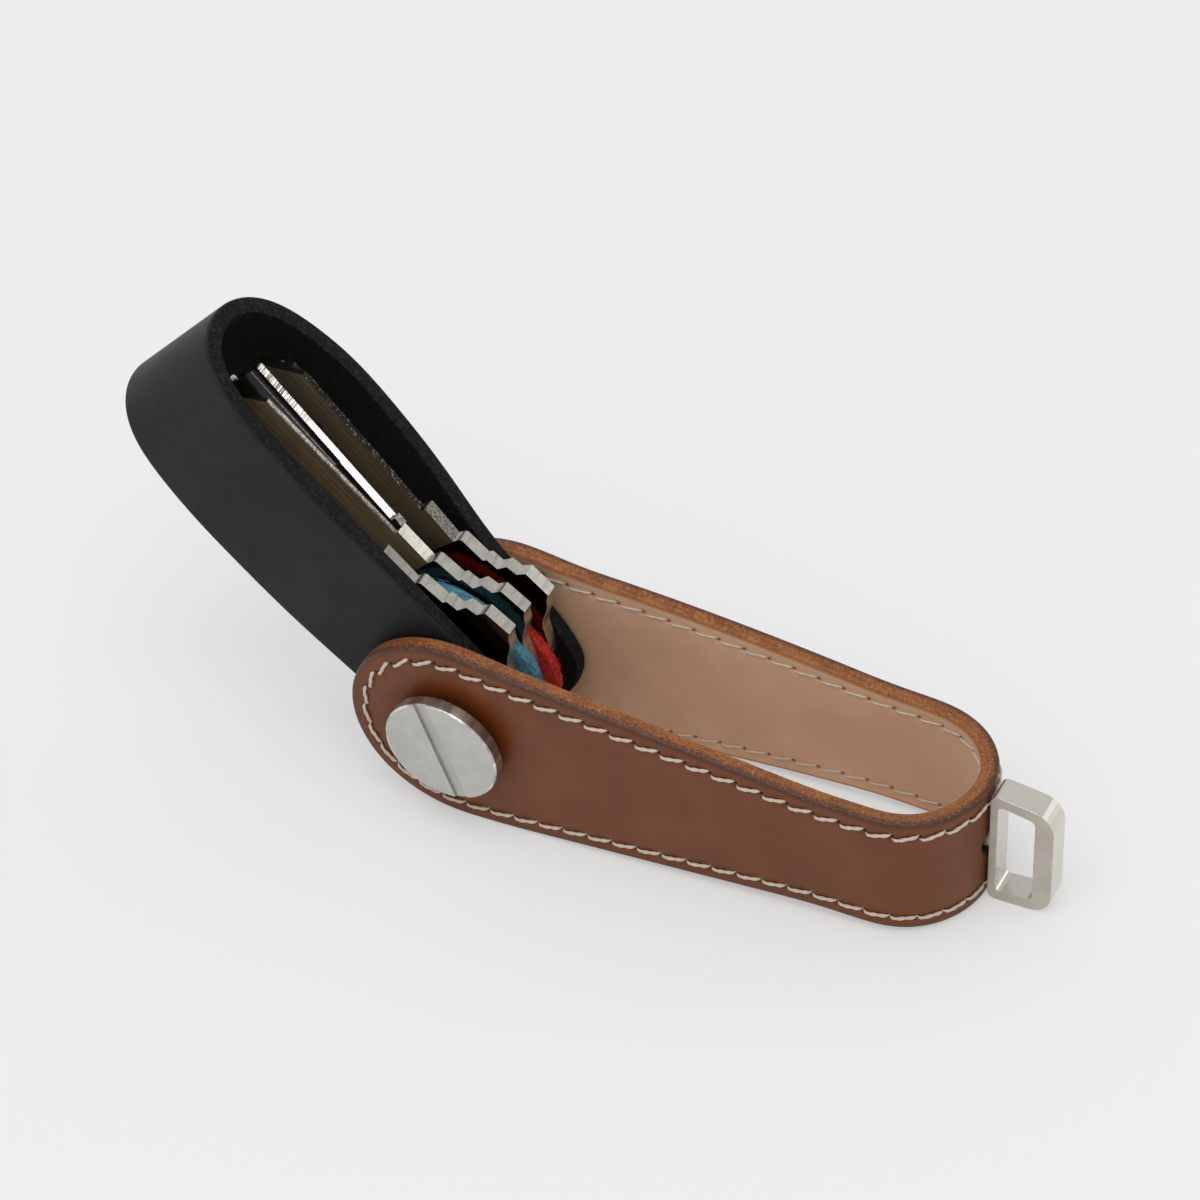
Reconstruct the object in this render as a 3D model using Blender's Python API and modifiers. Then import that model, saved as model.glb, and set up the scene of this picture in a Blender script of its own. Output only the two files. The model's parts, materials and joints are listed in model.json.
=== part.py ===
"""Key organizer: a folded leather cover, a leather loop of keys on its pivot, and a swivel ring.

Metres, +Z up. The cover stands on its lower edges on Z = 0 with its fold toward +X. The pivot
runs along Y, so near pieces have the lower Y, and the loop of keys swings up toward -X.
"""
import math

import bmesh
import bpy
from mathutils import Vector

# Gaps and cuts
GAP = 0.0003
OVERRUN = 0.0020
MERGE = 0.00001

# Origin: the middle of the footprint, as seen from the pivot
MIDDLE_FROM_PIVOT_X = 0.0154
MIDDLE_FROM_PIVOT_Y = -0.0024

# Cover: one strap folded at +X, with its lining
COVER_REACH = 0.0770
COVER_FOLD_LENGTH = 0.0128
COVER_THICKNESS = 0.0026
STRAP_THICKNESS = 0.00165
COVER_END_RADIUS = 0.0163
COVER_NARROW_WIDTH = 0.0216
COVER_TAPER_END = 0.0556
FLAT_UNDER_HEAD = 0.0093
COVER_NEAR_AT_PIVOT = -0.0141
COVER_NEAR_AT_FOLD = -0.0121
COVER_FAR_AT_PIVOT = 0.01033
COVER_FAR_AT_FOLD = 0.01303
COVER_FAR_BOW = 1.9
COVER_APEX_Y = 0.0014
LEATHER_EDGE_ROUND = 0.0003

# Loop: the black strap that holds the keys
LOOP_ROOM = 0.0068
LOOP_REACH = COVER_REACH - COVER_THICKNESS - LOOP_ROOM
LOOP_FOLD_LENGTH = 0.0090
LOOP_THICKNESS = 0.00225
LOOP_END_RADIUS = 0.01035
LOOP_WIDTH = 0.0233
LOOP_TAPER_END = 0.0250
LOOP_PIVOT_ROOM = 0.00108
LOOP_NEAR_AT_PIVOT = COVER_NEAR_AT_PIVOT + COVER_THICKNESS + LOOP_PIVOT_ROOM
LOOP_NEAR_AT_FOLD = -0.0094
LOOP_FAR_ROOM = 0.00033
LOOP_SWELL_LAG = COVER_END_RADIUS - FLAT_UNDER_HEAD
LOOP_APEX_Y = 0.0015
LOOP_RISE_DEG = 40.2

# Pivot screw and its post
BARREL_RADIUS = 0.0025
PIVOT_HOLE_RADIUS = BARREL_RADIUS + GAP
SHANK_RADIUS = 0.0015
BARREL_BORE_RADIUS = SHANK_RADIUS + GAP
SHANK_REACH = 0.0190
HEAD_RADIUS = 0.0089
HEAD_PROUD = 0.0037
HEAD_FACE_Y = COVER_NEAR_AT_PIVOT - HEAD_PROUD
HEAD_THICKNESS = 0.0022
HEAD_CHAMFER = 0.0004
NECK_RADIUS = 0.0042
SLOT_WIDTH = 0.0021
SLOT_DEPTH = 0.0011
SLOT_TURN_DEG = 65.7
POST_HEAD_THICKNESS = 0.0020

# Keys: outline points are shares of the reach, from the pivot toward the tip and up
KEY_ROOM = 0.00635
KEY_REACH = LOOP_REACH - LOOP_THICKNESS - KEY_ROOM
KEY_THICKNESS = 0.00205
KEY_EDGE = 0.00012
KEY_HEAD_ROUND = 0.0008
KEY_HOLE_RADIUS = PIVOT_HOLE_RADIUS
LOOP_INNER_NARROW_Y = LOOP_NEAR_AT_FOLD + LOOP_THICKNESS
KEY_FRONT_Y = LOOP_INNER_NARROW_Y + GAP
KEY_FRONT_TURN_DEG = 1.8
KEY_REAR_TURN_DEG = 6.3
HEAD_TOP_SHARES = (
    (0.447, 0.154), (0.351, 0.153), (0.342, 0.183), (0.277, 0.185), (0.266, 0.198),
    (0.239, 0.213), (0.225, 0.254), (0.205, 0.262), (0.186, 0.288), (0.120, 0.290),
    (0.102, 0.259), (0.083, 0.247), (0.061, 0.208), (0.044, 0.185), (-0.025, 0.146),
    (-0.078, 0.085))
HEAD_LOW_SHARES = (
    (-0.078, -0.076), (-0.040, -0.120), (0.051, -0.161), (0.203, -0.166), (0.300, -0.130),
    (0.373, -0.034), (0.458, 0.003))
BLADE_START_SHARE = 0.475
BLADE_LOW_SHARE = 0.010
BLADE_BACK_SHARE = 0.149
TIP_SHARES = ((0.915, 0.149), (0.972, 0.116), (0.993, 0.090), (0.993, 0.066), (0.965, 0.026))
FLIPPED_TIP_SHARES = (
    (0.993, 0.176), (0.997, 0.120), (0.993, 0.090), (0.975, 0.052), (0.930, 0.010))
BIT_START_SHARE = 0.520
BIT_END_SHARE = 0.930
BIT_DEPTH_SHARES = (0.016, 0.040, 0.024, 0.052, 0.032, 0.046)
FLIPPED_BACK_START_SHARE = 0.158
FLIPPED_BACK_END_SHARE = 0.203
RIDGE_START_SHARE = 0.790
RIDGE_END_SHARE = 0.983
RIDGE_DEPTH_SHARE = 0.004
RIDGES = 9
LEDGE_RECESS = 0.00075
GROOVE_DEPTH = 0.00055
NEAR_GROOVE_SHARES = ((0.048, 0.072), (0.098, 0.112))
FAR_GROOVE_SHARES = ((0.078, 0.094),)

# Discs between the keys
DISC_THICKNESS = 0.0021
BLUE_RADIUS = 0.0112
RED_RADIUS = 0.0098
DISC_ROUND = 0.0005

# Ring at the fold, with its stem, screw and washer
RING_START = COVER_REACH + GAP
RING_LENGTH = 0.0096
RING_DEPTH = 0.0040
RING_Y = 0.0016
RING_INNER_HALF = 0.0107
RING_OUTER_HALF = 0.0099
RING_LEATHER_BAR = 0.00115
RING_OUTER_BAR = 0.00285
RING_SIDE_BAR = 0.0018
RING_INNER_CORNER = 0.0013
RING_OUTER_CORNER = 0.0037
WINDOW_CORNER = 0.0009
RING_EDGE = 0.0004
STEM_RADIUS = 0.0016
STEM_HOLE_RADIUS = 0.0022
WASHER_RADIUS = 0.0032
WASHER_HOLE_RADIUS = STEM_RADIUS + GAP
WASHER_THICKNESS = 0.0007
FOLD_HOLLOW = 0.0015
WASHER_START = COVER_REACH - COVER_THICKNESS - FOLD_HOLLOW - WASHER_THICKNESS
STEM_PROUD = 0.0001
STEM_END = WASHER_START - STEM_PROUD
STEM_BORE_RADIUS = 0.0012
STEM_BORE_FLOOR = 0.0008
STEM_BORE_END = RING_START - STEM_BORE_FLOOR
RING_SCREW_HEAD_RADIUS = 0.0028
RING_SCREW_HEAD_THICKNESS = 0.0013
RING_SCREW_SHANK_RADIUS = STEM_BORE_RADIUS - GAP
RING_SCREW_SLOT = 0.0006

# Facets
FOLD_STEPS = 14
LEG_STEPS = 12
ROUND_END_STEPS = 32
CORNER_STEPS = 7
HEAD_CORNER_STEPS = 3
TURNED_STEPS = 48
HOLE_SIDES = 28
SMOOTH_ANGLE_DEG = 32.0


def clear_scene():
    """Remove every object of the startup scene."""
    for ob in list(bpy.data.objects):
        bpy.data.objects.remove(ob, do_unlink=True)


def collection(name, hidden=False):
    """Make a collection under the scene's own."""
    made = bpy.data.collections.new(name)
    bpy.context.scene.collection.children.link(made)
    made.hide_render = hidden
    return made


def material(name, colour, roughness, metallic=0.0):
    """Make a Principled material."""
    made = bpy.data.materials.new(name)
    made.use_nodes = True
    made.diffuse_color = (*colour, 1.0)
    shader = made.node_tree.nodes["Principled BSDF"]
    shader.inputs["Base Color"].default_value = (*colour, 1.0)
    shader.inputs["Roughness"].default_value = roughness
    shader.inputs["Metallic"].default_value = metallic
    return made


def empty(name, parent=None, location=(0.0, 0.0, 0.0), turn_y=0.0):
    """Make an empty whose Y axis is a joint axis."""
    made = bpy.data.objects.new(name, None)
    made.empty_display_size = COVER_END_RADIUS
    made.location = location
    made.rotation_euler = (0.0, turn_y, 0.0)
    made.parent = parent
    PARTS.objects.link(made)
    return made


def settle(ob):
    """Weld an object's mesh and shade it by angle."""
    work = bmesh.new()
    work.from_mesh(ob.data)
    bmesh.ops.remove_doubles(work, verts=work.verts, dist=MERGE)
    bmesh.ops.recalc_face_normals(work, faces=work.faces)
    work.to_mesh(ob.data)
    work.free()
    ob.data.shade_smooth()
    ob.data.set_sharp_from_angle(angle=math.radians(SMOOTH_ANGLE_DEG))


def plate(name, outlines, thickness, parent, home=None, side=False, at=0.0):
    """Fill flat outlines to a plate: in the XY plane, or in the XZ plane where side is set."""
    curve = bpy.data.curves.new(name + "_outline", 'CURVE')
    curve.dimensions = '2D'
    curve.fill_mode = 'BOTH'
    curve.extrude = thickness / 2
    for outline in outlines:
        spline = curve.splines.new('POLY')
        spline.points.add(len(outline) - 1)
        for point, (a, b) in zip(spline.points, outline):
            point.co = (a, b, 0.0, 1.0)
        spline.use_cyclic_u = True
    drawn = bpy.data.objects.new(name + "_outline", curve)
    PARTS.objects.link(drawn)
    drawn.parent = parent
    if side:
        drawn.rotation_euler = (math.pi / 2, 0.0, 0.0)
        drawn.location = (0.0, at, 0.0)
    else:
        drawn.location = (0.0, 0.0, at)
    bpy.context.view_layer.update()
    graph = bpy.context.evaluated_depsgraph_get()
    mesh = bpy.data.meshes.new_from_object(drawn.evaluated_get(graph))
    made = bpy.data.objects.new(name, mesh)
    mesh.name = name
    (home or PARTS).objects.link(made)
    made.parent = parent
    made.location = drawn.location
    made.rotation_euler = drawn.rotation_euler
    bpy.data.objects.remove(drawn, do_unlink=True)
    settle(made)
    bpy.context.view_layer.update()
    return made


def turned(name, profile, parent, closed=False):
    """Turn a profile of (radius, height) about Z, then lay it along the pivot, top toward -Y."""
    mesh = bpy.data.meshes.new(name)
    work = bmesh.new()
    points = [work.verts.new((radius, 0.0, height)) for radius, height in profile]
    pairs = list(zip(points, points[1:]))
    if closed:
        pairs.append((points[-1], points[0]))
    for a, b in pairs:
        work.edges.new((a, b))
    work.to_mesh(mesh)
    work.free()
    made = bpy.data.objects.new(name, mesh)
    PARTS.objects.link(made)
    made.parent = parent
    made.rotation_euler = (math.pi / 2, 0.0, 0.0)
    spin = made.modifiers.new("Turn", 'SCREW')
    spin.axis = 'Z'
    spin.angle = math.tau
    spin.steps = TURNED_STEPS
    spin.render_steps = TURNED_STEPS
    spin.use_merge_vertices = True
    spin.merge_threshold = MERGE
    spin.use_smooth_shade = True
    return made


def rod(name, radius, start, end, parent, home=None, along='Y', at=(0.0, 0.0), sides=HOLE_SIDES):
    """Make a cylinder from start to end along Y or X, at the other two coordinates."""
    mesh = bpy.data.meshes.new(name)
    work = bmesh.new()
    bmesh.ops.create_cone(
        work, cap_ends=True, segments=sides, radius1=radius, radius2=radius, depth=end - start)
    work.to_mesh(mesh)
    work.free()
    mesh.shade_smooth()
    mesh.set_sharp_from_angle(angle=math.radians(SMOOTH_ANGLE_DEG))
    made = bpy.data.objects.new(name, mesh)
    (home or PARTS).objects.link(made)
    made.parent = parent
    middle = (start + end) / 2
    if along == 'Y':
        made.rotation_euler = (math.pi / 2, 0.0, 0.0)
        made.location = (at[0], middle, at[1])
    else:
        made.rotation_euler = (0.0, math.pi / 2, 0.0)
        made.location = (middle, at[0], at[1])
    return made


def block(name, low, high, parent, turn_y=0.0):
    """Make a box cutter between two corners, turned about the pivot."""
    size = Vector(high) - Vector(low)
    mesh = bpy.data.meshes.new(name)
    work = bmesh.new()
    bmesh.ops.create_cube(work, size=1.0)
    bmesh.ops.scale(work, vec=size, verts=work.verts)
    bmesh.ops.translate(work, vec=(Vector(high) + Vector(low)) / 2, verts=work.verts)
    work.to_mesh(mesh)
    work.free()
    made = bpy.data.objects.new(name, mesh)
    CUTTERS.objects.link(made)
    made.parent = parent
    made.rotation_euler = (0.0, turn_y, 0.0)
    return made


def boolean(ob, tool, operation='DIFFERENCE'):
    """Cut, join or intersect an object with a tool that stays in the cutters' collection."""
    tool.hide_render = True
    tool.display_type = 'WIRE'
    step = ob.modifiers.new(tool.name, 'BOOLEAN')
    step.operation = operation
    step.solver = 'EXACT'
    step.object = tool


def bevel(ob, width, segments=2, angle_deg=40.0):
    """Round an object's sharp edges."""
    step = ob.modifiers.new("Edges", 'BEVEL')
    step.width = width
    step.segments = segments
    step.limit_method = 'ANGLE'
    step.angle_limit = math.radians(angle_deg)
    step.harden_normals = False


def finish(ob, surface):
    """Give an object its material."""
    ob.data.materials.clear()
    ob.data.materials.append(surface)


def blend(start, end, share):
    """Run evenly from start to end."""
    return start + (end - start) * share


def inset(path, depth):
    """Offset a path by depth to its left."""
    moved = []
    for i, point in enumerate(path):
        before = Vector(path[max(i - 1, 0)])
        after = Vector(path[min(i + 1, len(path) - 1)])
        along = (after - before).normalized()
        moved.append((point[0] - along.y * depth, point[1] + along.x * depth))
    return moved


def folded_path(reach, fold_length, tail, near, far, apex_y):
    """Run down the near leg, round the fold and back up the far leg, seen from above."""
    straight = reach - fold_length
    path = [(-tail, near(0.0))]
    for i in range(LEG_STEPS):
        along = blend(FLAT_UNDER_HEAD, straight, i / LEG_STEPS)
        path.append((along, near(along)))
    for i in range(FOLD_STEPS + 1):
        turn = math.pi / 2 * i / FOLD_STEPS
        x = straight + fold_length * math.sin(turn)
        path.append((x, blend(apex_y, near(straight), math.cos(turn))))
    for i in range(1, FOLD_STEPS + 1):
        turn = math.pi / 2 * (1 - i / FOLD_STEPS)
        x = straight + fold_length * math.sin(turn)
        path.append((x, blend(apex_y, far(straight), math.cos(turn))))
    for i in range(LEG_STEPS - 1, -1, -1):
        along = blend(FLAT_UNDER_HEAD, straight, i / LEG_STEPS)
        path.append((along, far(along)))
    path.append((-tail, far(0.0)))
    return path


def past_head(along, reach):
    """Give the share of a leg that is behind, counted from the flat under the screw's head."""
    return max(along - FLAT_UNDER_HEAD, 0.0) / (reach - FLAT_UNDER_HEAD)


def cover_near(along):
    """Give the near leg's outer face."""
    share = past_head(along, COVER_REACH - COVER_FOLD_LENGTH)
    return blend(COVER_NEAR_AT_PIVOT, COVER_NEAR_AT_FOLD, share)


def cover_far(along):
    """Give the far leg's outer face, which bows outward."""
    share = past_head(along, COVER_REACH - COVER_FOLD_LENGTH)
    return blend(COVER_FAR_AT_FOLD, COVER_FAR_AT_PIVOT, (1.0 - share) ** COVER_FAR_BOW)


def loop_near(along):
    """Give the loop's near outer face."""
    share = past_head(along, LOOP_REACH - LOOP_FOLD_LENGTH)
    return blend(LOOP_NEAR_AT_PIVOT, LOOP_NEAR_AT_FOLD, share)


def loop_far(along):
    """Give the loop's far outer face, which swells out past the cover's round end.

    It is the widest swell that still swings in beside the cover's far leg.
    """
    return cover_far(along - LOOP_SWELL_LAG) - COVER_THICKNESS - LOOP_FAR_ROOM


def side_outline(radius, taper_end, half_width, reach):
    """Draw a strap from the side: a round end about the pivot, a taper and a straight run."""
    points = []
    for i in range(ROUND_END_STEPS + 1):
        turn = math.pi / 2 + math.pi * i / ROUND_END_STEPS
        points.append((radius * math.cos(turn), radius * math.sin(turn)))
    points.append((taper_end, -half_width))
    points.append((reach + OVERRUN, -half_width))
    points.append((reach + OVERRUN, half_width))
    points.append((taper_end, half_width))
    return points


def toward_tip(outline):
    """Turn an outline drawn toward +X round to -X, where the loop and the keys point."""
    return [(-a, b) for a, b in outline]


def rounded(corners, radii):
    """Round each corner of a convex outline."""
    points = []
    count = len(corners)
    for i, (corner, radius) in enumerate(zip(corners, radii)):
        here = Vector(corner)
        back = (Vector(corners[i - 1]) - here).normalized()
        ahead = (Vector(corners[(i + 1) % count]) - here).normalized()
        half = back.angle(ahead) / 2
        centre = here + (back + ahead).normalized() * (radius / math.sin(half))
        start = (here + back * (radius / math.tan(half)) - centre).normalized()
        end = (here + ahead * (radius / math.tan(half)) - centre).normalized()
        for step in range(CORNER_STEPS + 1):
            spoke = start.slerp(end, step / CORNER_STEPS)
            points.append(tuple(centre + spoke * radius))
    return points


def build_cover(stand):
    """Make the brown strap and its lining, each as a folded plan cut to the side outline."""
    def layer(name, outer, inner, surface):
        path = folded_path(
            COVER_REACH, COVER_FOLD_LENGTH, COVER_END_RADIUS + OVERRUN, cover_near, cover_far,
            COVER_APEX_Y)
        plan = inset(path, outer) + inset(path, inner)[::-1]
        tall = 2 * (COVER_END_RADIUS + OVERRUN)
        made = plate(name, [plan], tall, stand)
        shape = side_outline(
            COVER_END_RADIUS, COVER_TAPER_END, COVER_NARROW_WIDTH / 2, COVER_REACH)
        wide = 2 * (COVER_FAR_AT_FOLD - COVER_NEAR_AT_PIVOT)
        trim = plate(name + "_side", [shape], wide, stand, CUTTERS, side=True)
        boolean(made, trim, 'INTERSECT')
        bevel(made, LEATHER_EDGE_ROUND)
        boolean(made, rod(name + "_pivot_hole", PIVOT_HOLE_RADIUS, -wide, wide, stand, CUTTERS))
        hole = rod(
            name + "_stem_hole", STEM_HOLE_RADIUS, STEM_END - COVER_THICKNESS,
            COVER_REACH + OVERRUN, stand, CUTTERS, along='X', at=(RING_Y, 0.0))
        boolean(made, hole)
        finish(made, surface)
    layer("cover_strap", 0.0, STRAP_THICKNESS, BROWN)
    layer("cover_lining", STRAP_THICKNESS + GAP, COVER_THICKNESS, TAN)


def build_loop(pivot):
    """Make the black loop the same way, pointing toward -X."""
    path = folded_path(
        LOOP_REACH, LOOP_FOLD_LENGTH, LOOP_END_RADIUS + OVERRUN, loop_near, loop_far, LOOP_APEX_Y)
    plan = toward_tip(path + inset(path, LOOP_THICKNESS)[::-1])
    made = plate("inner_strap", [plan], LOOP_WIDTH + 2 * OVERRUN, pivot)
    shape = toward_tip(
        side_outline(LOOP_END_RADIUS, LOOP_TAPER_END, LOOP_WIDTH / 2, LOOP_REACH))
    wide = 2 * (COVER_FAR_AT_FOLD - COVER_NEAR_AT_PIVOT)
    trim = plate("inner_strap_side", [shape], wide, pivot, CUTTERS, side=True)
    boolean(made, trim, 'INTERSECT')
    bevel(made, LEATHER_EDGE_ROUND)
    boolean(made, rod("inner_strap_hole", PIVOT_HOLE_RADIUS, -wide, wide, pivot, CUTTERS))
    finish(made, BLACK)


def build_screw(stand):
    """Make the slotted screw, and the post that it goes into from the near side."""
    face = -HEAD_FACE_Y
    under = face - HEAD_THICKNESS
    seat = -COVER_NEAR_AT_PIVOT + GAP
    tip = seat - SHANK_REACH
    profile = [
        (0.0, face), (HEAD_RADIUS - HEAD_CHAMFER, face), (HEAD_RADIUS, face - HEAD_CHAMFER),
        (HEAD_RADIUS, under + HEAD_CHAMFER), (HEAD_RADIUS - HEAD_CHAMFER, under),
        (NECK_RADIUS, under), (NECK_RADIUS, seat), (SHANK_RADIUS, seat),
        (SHANK_RADIUS, tip + HEAD_CHAMFER), (SHANK_RADIUS - HEAD_CHAMFER, tip), (0.0, tip)]
    head = turned("screw_head", profile, stand)
    slot = block(
        "screw_slot", (-HEAD_RADIUS - OVERRUN, HEAD_FACE_Y - OVERRUN, -SLOT_WIDTH / 2),
        (HEAD_RADIUS + OVERRUN, HEAD_FACE_Y + SLOT_DEPTH, SLOT_WIDTH / 2), stand,
        math.radians(SLOT_TURN_DEG))
    boolean(head, slot)
    finish(head, NICKEL)

    seat = -COVER_FAR_AT_PIVOT - GAP
    back = seat - POST_HEAD_THICKNESS
    mouth = -COVER_NEAR_AT_PIVOT - GAP / 2
    floor = tip - GAP
    profile = [
        (0.0, floor), (BARREL_BORE_RADIUS, floor), (BARREL_BORE_RADIUS, mouth),
        (BARREL_RADIUS, mouth), (BARREL_RADIUS, seat), (HEAD_RADIUS - HEAD_CHAMFER, seat),
        (HEAD_RADIUS, seat - HEAD_CHAMFER), (HEAD_RADIUS, back + HEAD_CHAMFER),
        (HEAD_RADIUS - HEAD_CHAMFER, back), (0.0, back)]
    finish(turned("screw_post", profile, stand), NICKEL)


def bitting(start, end, base, depths):
    """Cut a row of notches up into a blade's lower edge, given as shares of the reach."""
    points = []
    pitch = (end - start) / len(depths)
    for i, depth in enumerate(depths):
        left = start + pitch * i
        floor = base + depth
        points.append((left, base))
        points.append((blend(left, left + pitch, 0.40), floor))
        points.append((blend(left, left + pitch, 0.62), floor))
    points.append((end, base))
    return points


def ridged_back():
    """Raise the flipped blade's back evenly toward its tip, with fine ridges near the tip."""
    def back(along):
        share = (along - BLADE_START_SHARE) / (RIDGE_END_SHARE - BLADE_START_SHARE)
        return blend(FLIPPED_BACK_START_SHARE, FLIPPED_BACK_END_SHARE, share)
    points = [(BLADE_START_SHARE, back(BLADE_START_SHARE))]
    pitch = (RIDGE_END_SHARE - RIDGE_START_SHARE) / RIDGES
    for i in range(RIDGES):
        crest = RIDGE_START_SHARE + pitch * i
        valley = crest + pitch / 2
        points.append((crest, back(crest)))
        points.append((valley, back(valley) - RIDGE_DEPTH_SHARE))
    points.append((RIDGE_END_SHARE, back(RIDGE_END_SHARE)))
    return points


def softened(points, size):
    """Round the corners between the ends of an open outline."""
    made = [points[0]]
    for before, corner, after in zip(points, points[1:], points[2:]):
        here = Vector(corner)
        ends = []
        for other in (before, after):
            way = Vector(other) - here
            ends.append(here + way * min(size / way.length, 0.45))
        for step in range(HEAD_CORNER_STEPS + 1):
            share = step / HEAD_CORNER_STEPS
            made.append(tuple(
                ends[0].lerp(here, share).lerp(here.lerp(ends[1], share), share)))
    made.append(points[-1])
    return made


def build_key(name, near_y, parent, flipped, surface):
    """Make a flat key with its head at the pivot, its blade toward -X and both faces grooved."""
    head = [(KEY_REACH * a, KEY_REACH * b) for a, b in HEAD_TOP_SHARES + HEAD_LOW_SHARES]
    blade = [(BLADE_START_SHARE, BLADE_LOW_SHARE)]
    if flipped:
        blade.extend(FLIPPED_TIP_SHARES[::-1])
        blade.extend(ridged_back()[::-1])
    else:
        blade.extend(bitting(
            BIT_START_SHARE, BIT_END_SHARE, BLADE_LOW_SHARE, BIT_DEPTH_SHARES))
        blade.extend(TIP_SHARES[::-1])
        blade.append((BLADE_START_SHARE, BLADE_BACK_SHARE))
    blade = [(KEY_REACH * a, KEY_REACH * b) for a, b in blade]
    outline = toward_tip(softened(head, KEY_HEAD_ROUND) + blade)
    middle = near_y + KEY_THICKNESS / 2
    far_y = near_y + KEY_THICKNESS
    made = plate(name, [outline], KEY_THICKNESS, parent, side=True, at=middle)
    bevel(made, KEY_EDGE, segments=1)

    def groove(label, low, high, y_low, y_high):
        tool = block(
            name + label, (-KEY_REACH - OVERRUN, y_low, KEY_REACH * low),
            (-KEY_REACH * BLADE_START_SHARE, y_high, KEY_REACH * high), parent)
        boolean(made, tool)

    for i, (low, high) in enumerate(NEAR_GROOVE_SHARES):
        groove(f"_near_groove_{i}", low, high, near_y - OVERRUN, near_y + GROOVE_DEPTH)
    for i, (low, high) in enumerate(FAR_GROOVE_SHARES):
        groove(f"_far_groove_{i}", low, high, far_y - GROOVE_DEPTH, far_y + OVERRUN)
    if flipped:
        groove("_ledge", BLADE_BACK_SHARE, 1.0, near_y - OVERRUN, near_y + LEDGE_RECESS)
    hole = rod(
        name + "_hole", KEY_HOLE_RADIUS, near_y - OVERRUN, far_y + OVERRUN, parent, CUTTERS)
    boolean(made, hole)
    finish(made, surface)
    return far_y


def build_disc(name, near_y, radius, parent, surface):
    """Make a soft round disc with a hole, rounded at its rim."""
    top = -near_y
    low = top - DISC_THICKNESS
    profile = [
        (PIVOT_HOLE_RADIUS, top), (radius - DISC_ROUND, top), (radius, top - DISC_ROUND),
        (radius, low + DISC_ROUND), (radius - DISC_ROUND, low), (PIVOT_HOLE_RADIUS, low)]
    finish(turned(name, profile, parent, closed=True), surface)
    return near_y + DISC_THICKNESS


def build_stack(loop_pivot):
    """Stack the keys and the discs on the pivot, each a gap from the next."""
    turn = {
        "key_front": math.radians(KEY_FRONT_TURN_DEG),
        "key_middle": math.radians(KEY_FRONT_TURN_DEG),
        "key_rear": math.radians(KEY_REAR_TURN_DEG)}
    pivots = {name: empty(name + "_pivot", loop_pivot, turn_y=turn[name]) for name in turn}
    y = build_key("key_front", KEY_FRONT_Y, pivots["key_front"], False, BRIGHT)
    y = build_disc("spacer_blue", y + GAP, BLUE_RADIUS, loop_pivot, BLUE)
    y = build_key("key_middle", y + GAP, pivots["key_middle"], True, BRIGHT)
    y = build_disc("spacer_red", y + GAP, RED_RADIUS, loop_pivot, RED)
    build_key("key_rear", y + GAP, pivots["key_rear"], False, BRIGHT)


def build_ring(stand):
    """Make the flat ring with its stem through the fold, and the screw and washer inside."""
    far_x = RING_START + RING_LENGTH
    outer = rounded(
        [(RING_START, RING_INNER_HALF), (RING_START, -RING_INNER_HALF),
         (far_x, -RING_OUTER_HALF), (far_x, RING_OUTER_HALF)],
        [RING_INNER_CORNER, RING_INNER_CORNER, RING_OUTER_CORNER, RING_OUTER_CORNER])
    near_x = RING_START + RING_LEATHER_BAR
    end_x = far_x - RING_OUTER_BAR
    tall = RING_INNER_HALF - RING_SIDE_BAR
    short = RING_OUTER_HALF - RING_SIDE_BAR
    window = rounded(
        [(near_x, tall), (near_x, -tall), (end_x, -short), (end_x, short)], [WINDOW_CORNER] * 4)
    made = plate("ring", [outer, window], RING_DEPTH, stand, side=True, at=RING_Y)
    bevel(made, RING_EDGE)
    middle = (RING_Y, 0.0)
    stem_tip = RING_START + RING_LEATHER_BAR / 2
    stem = rod("ring_stem", STEM_RADIUS, STEM_END, stem_tip, stand, CUTTERS, 'X', middle)
    boolean(made, stem, 'UNION')
    bore = rod(
        "ring_bore", STEM_BORE_RADIUS, STEM_END - OVERRUN, STEM_BORE_END, stand, CUTTERS, 'X',
        middle)
    boolean(made, bore)
    finish(made, NICKEL)

    washer_end = WASHER_START + WASHER_THICKNESS
    washer = rod("ring_washer", WASHER_RADIUS, WASHER_START, washer_end, stand, None, 'X', middle)
    hole = rod(
        "ring_washer_hole", WASHER_HOLE_RADIUS, WASHER_START - OVERRUN, washer_end + OVERRUN,
        stand, CUTTERS, 'X', middle)
    boolean(washer, hole)
    finish(washer, NICKEL)

    head_end = STEM_END - GAP
    head_start = head_end - RING_SCREW_HEAD_THICKNESS
    screw = rod(
        "ring_screw", RING_SCREW_HEAD_RADIUS, head_start, head_end, stand, None, 'X', middle)
    shank = rod(
        "ring_screw_shank", RING_SCREW_SHANK_RADIUS, head_end - GAP, STEM_BORE_END - GAP, stand,
        CUTTERS, 'X', middle)
    boolean(screw, shank, 'UNION')
    slot = block(
        "ring_screw_slot",
        (head_start - OVERRUN, RING_Y - RING_SCREW_HEAD_RADIUS - OVERRUN, -RING_SCREW_SLOT / 2),
        (head_start + RING_SCREW_SLOT, RING_Y + RING_SCREW_HEAD_RADIUS + OVERRUN,
         RING_SCREW_SLOT / 2), stand)
    boolean(screw, slot)
    finish(screw, NICKEL)


def resting_tilt():
    """Find the tilt that rests the round end and the fold's lower edge on one plane."""
    half = COVER_NARROW_WIDTH / 2
    span = math.hypot(COVER_REACH, half)
    return math.asin(COVER_END_RADIUS / span) - math.atan2(half, COVER_REACH)


clear_scene()
PARTS = collection("key_organizer")
CUTTERS = collection("cutters", hidden=True)

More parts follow.
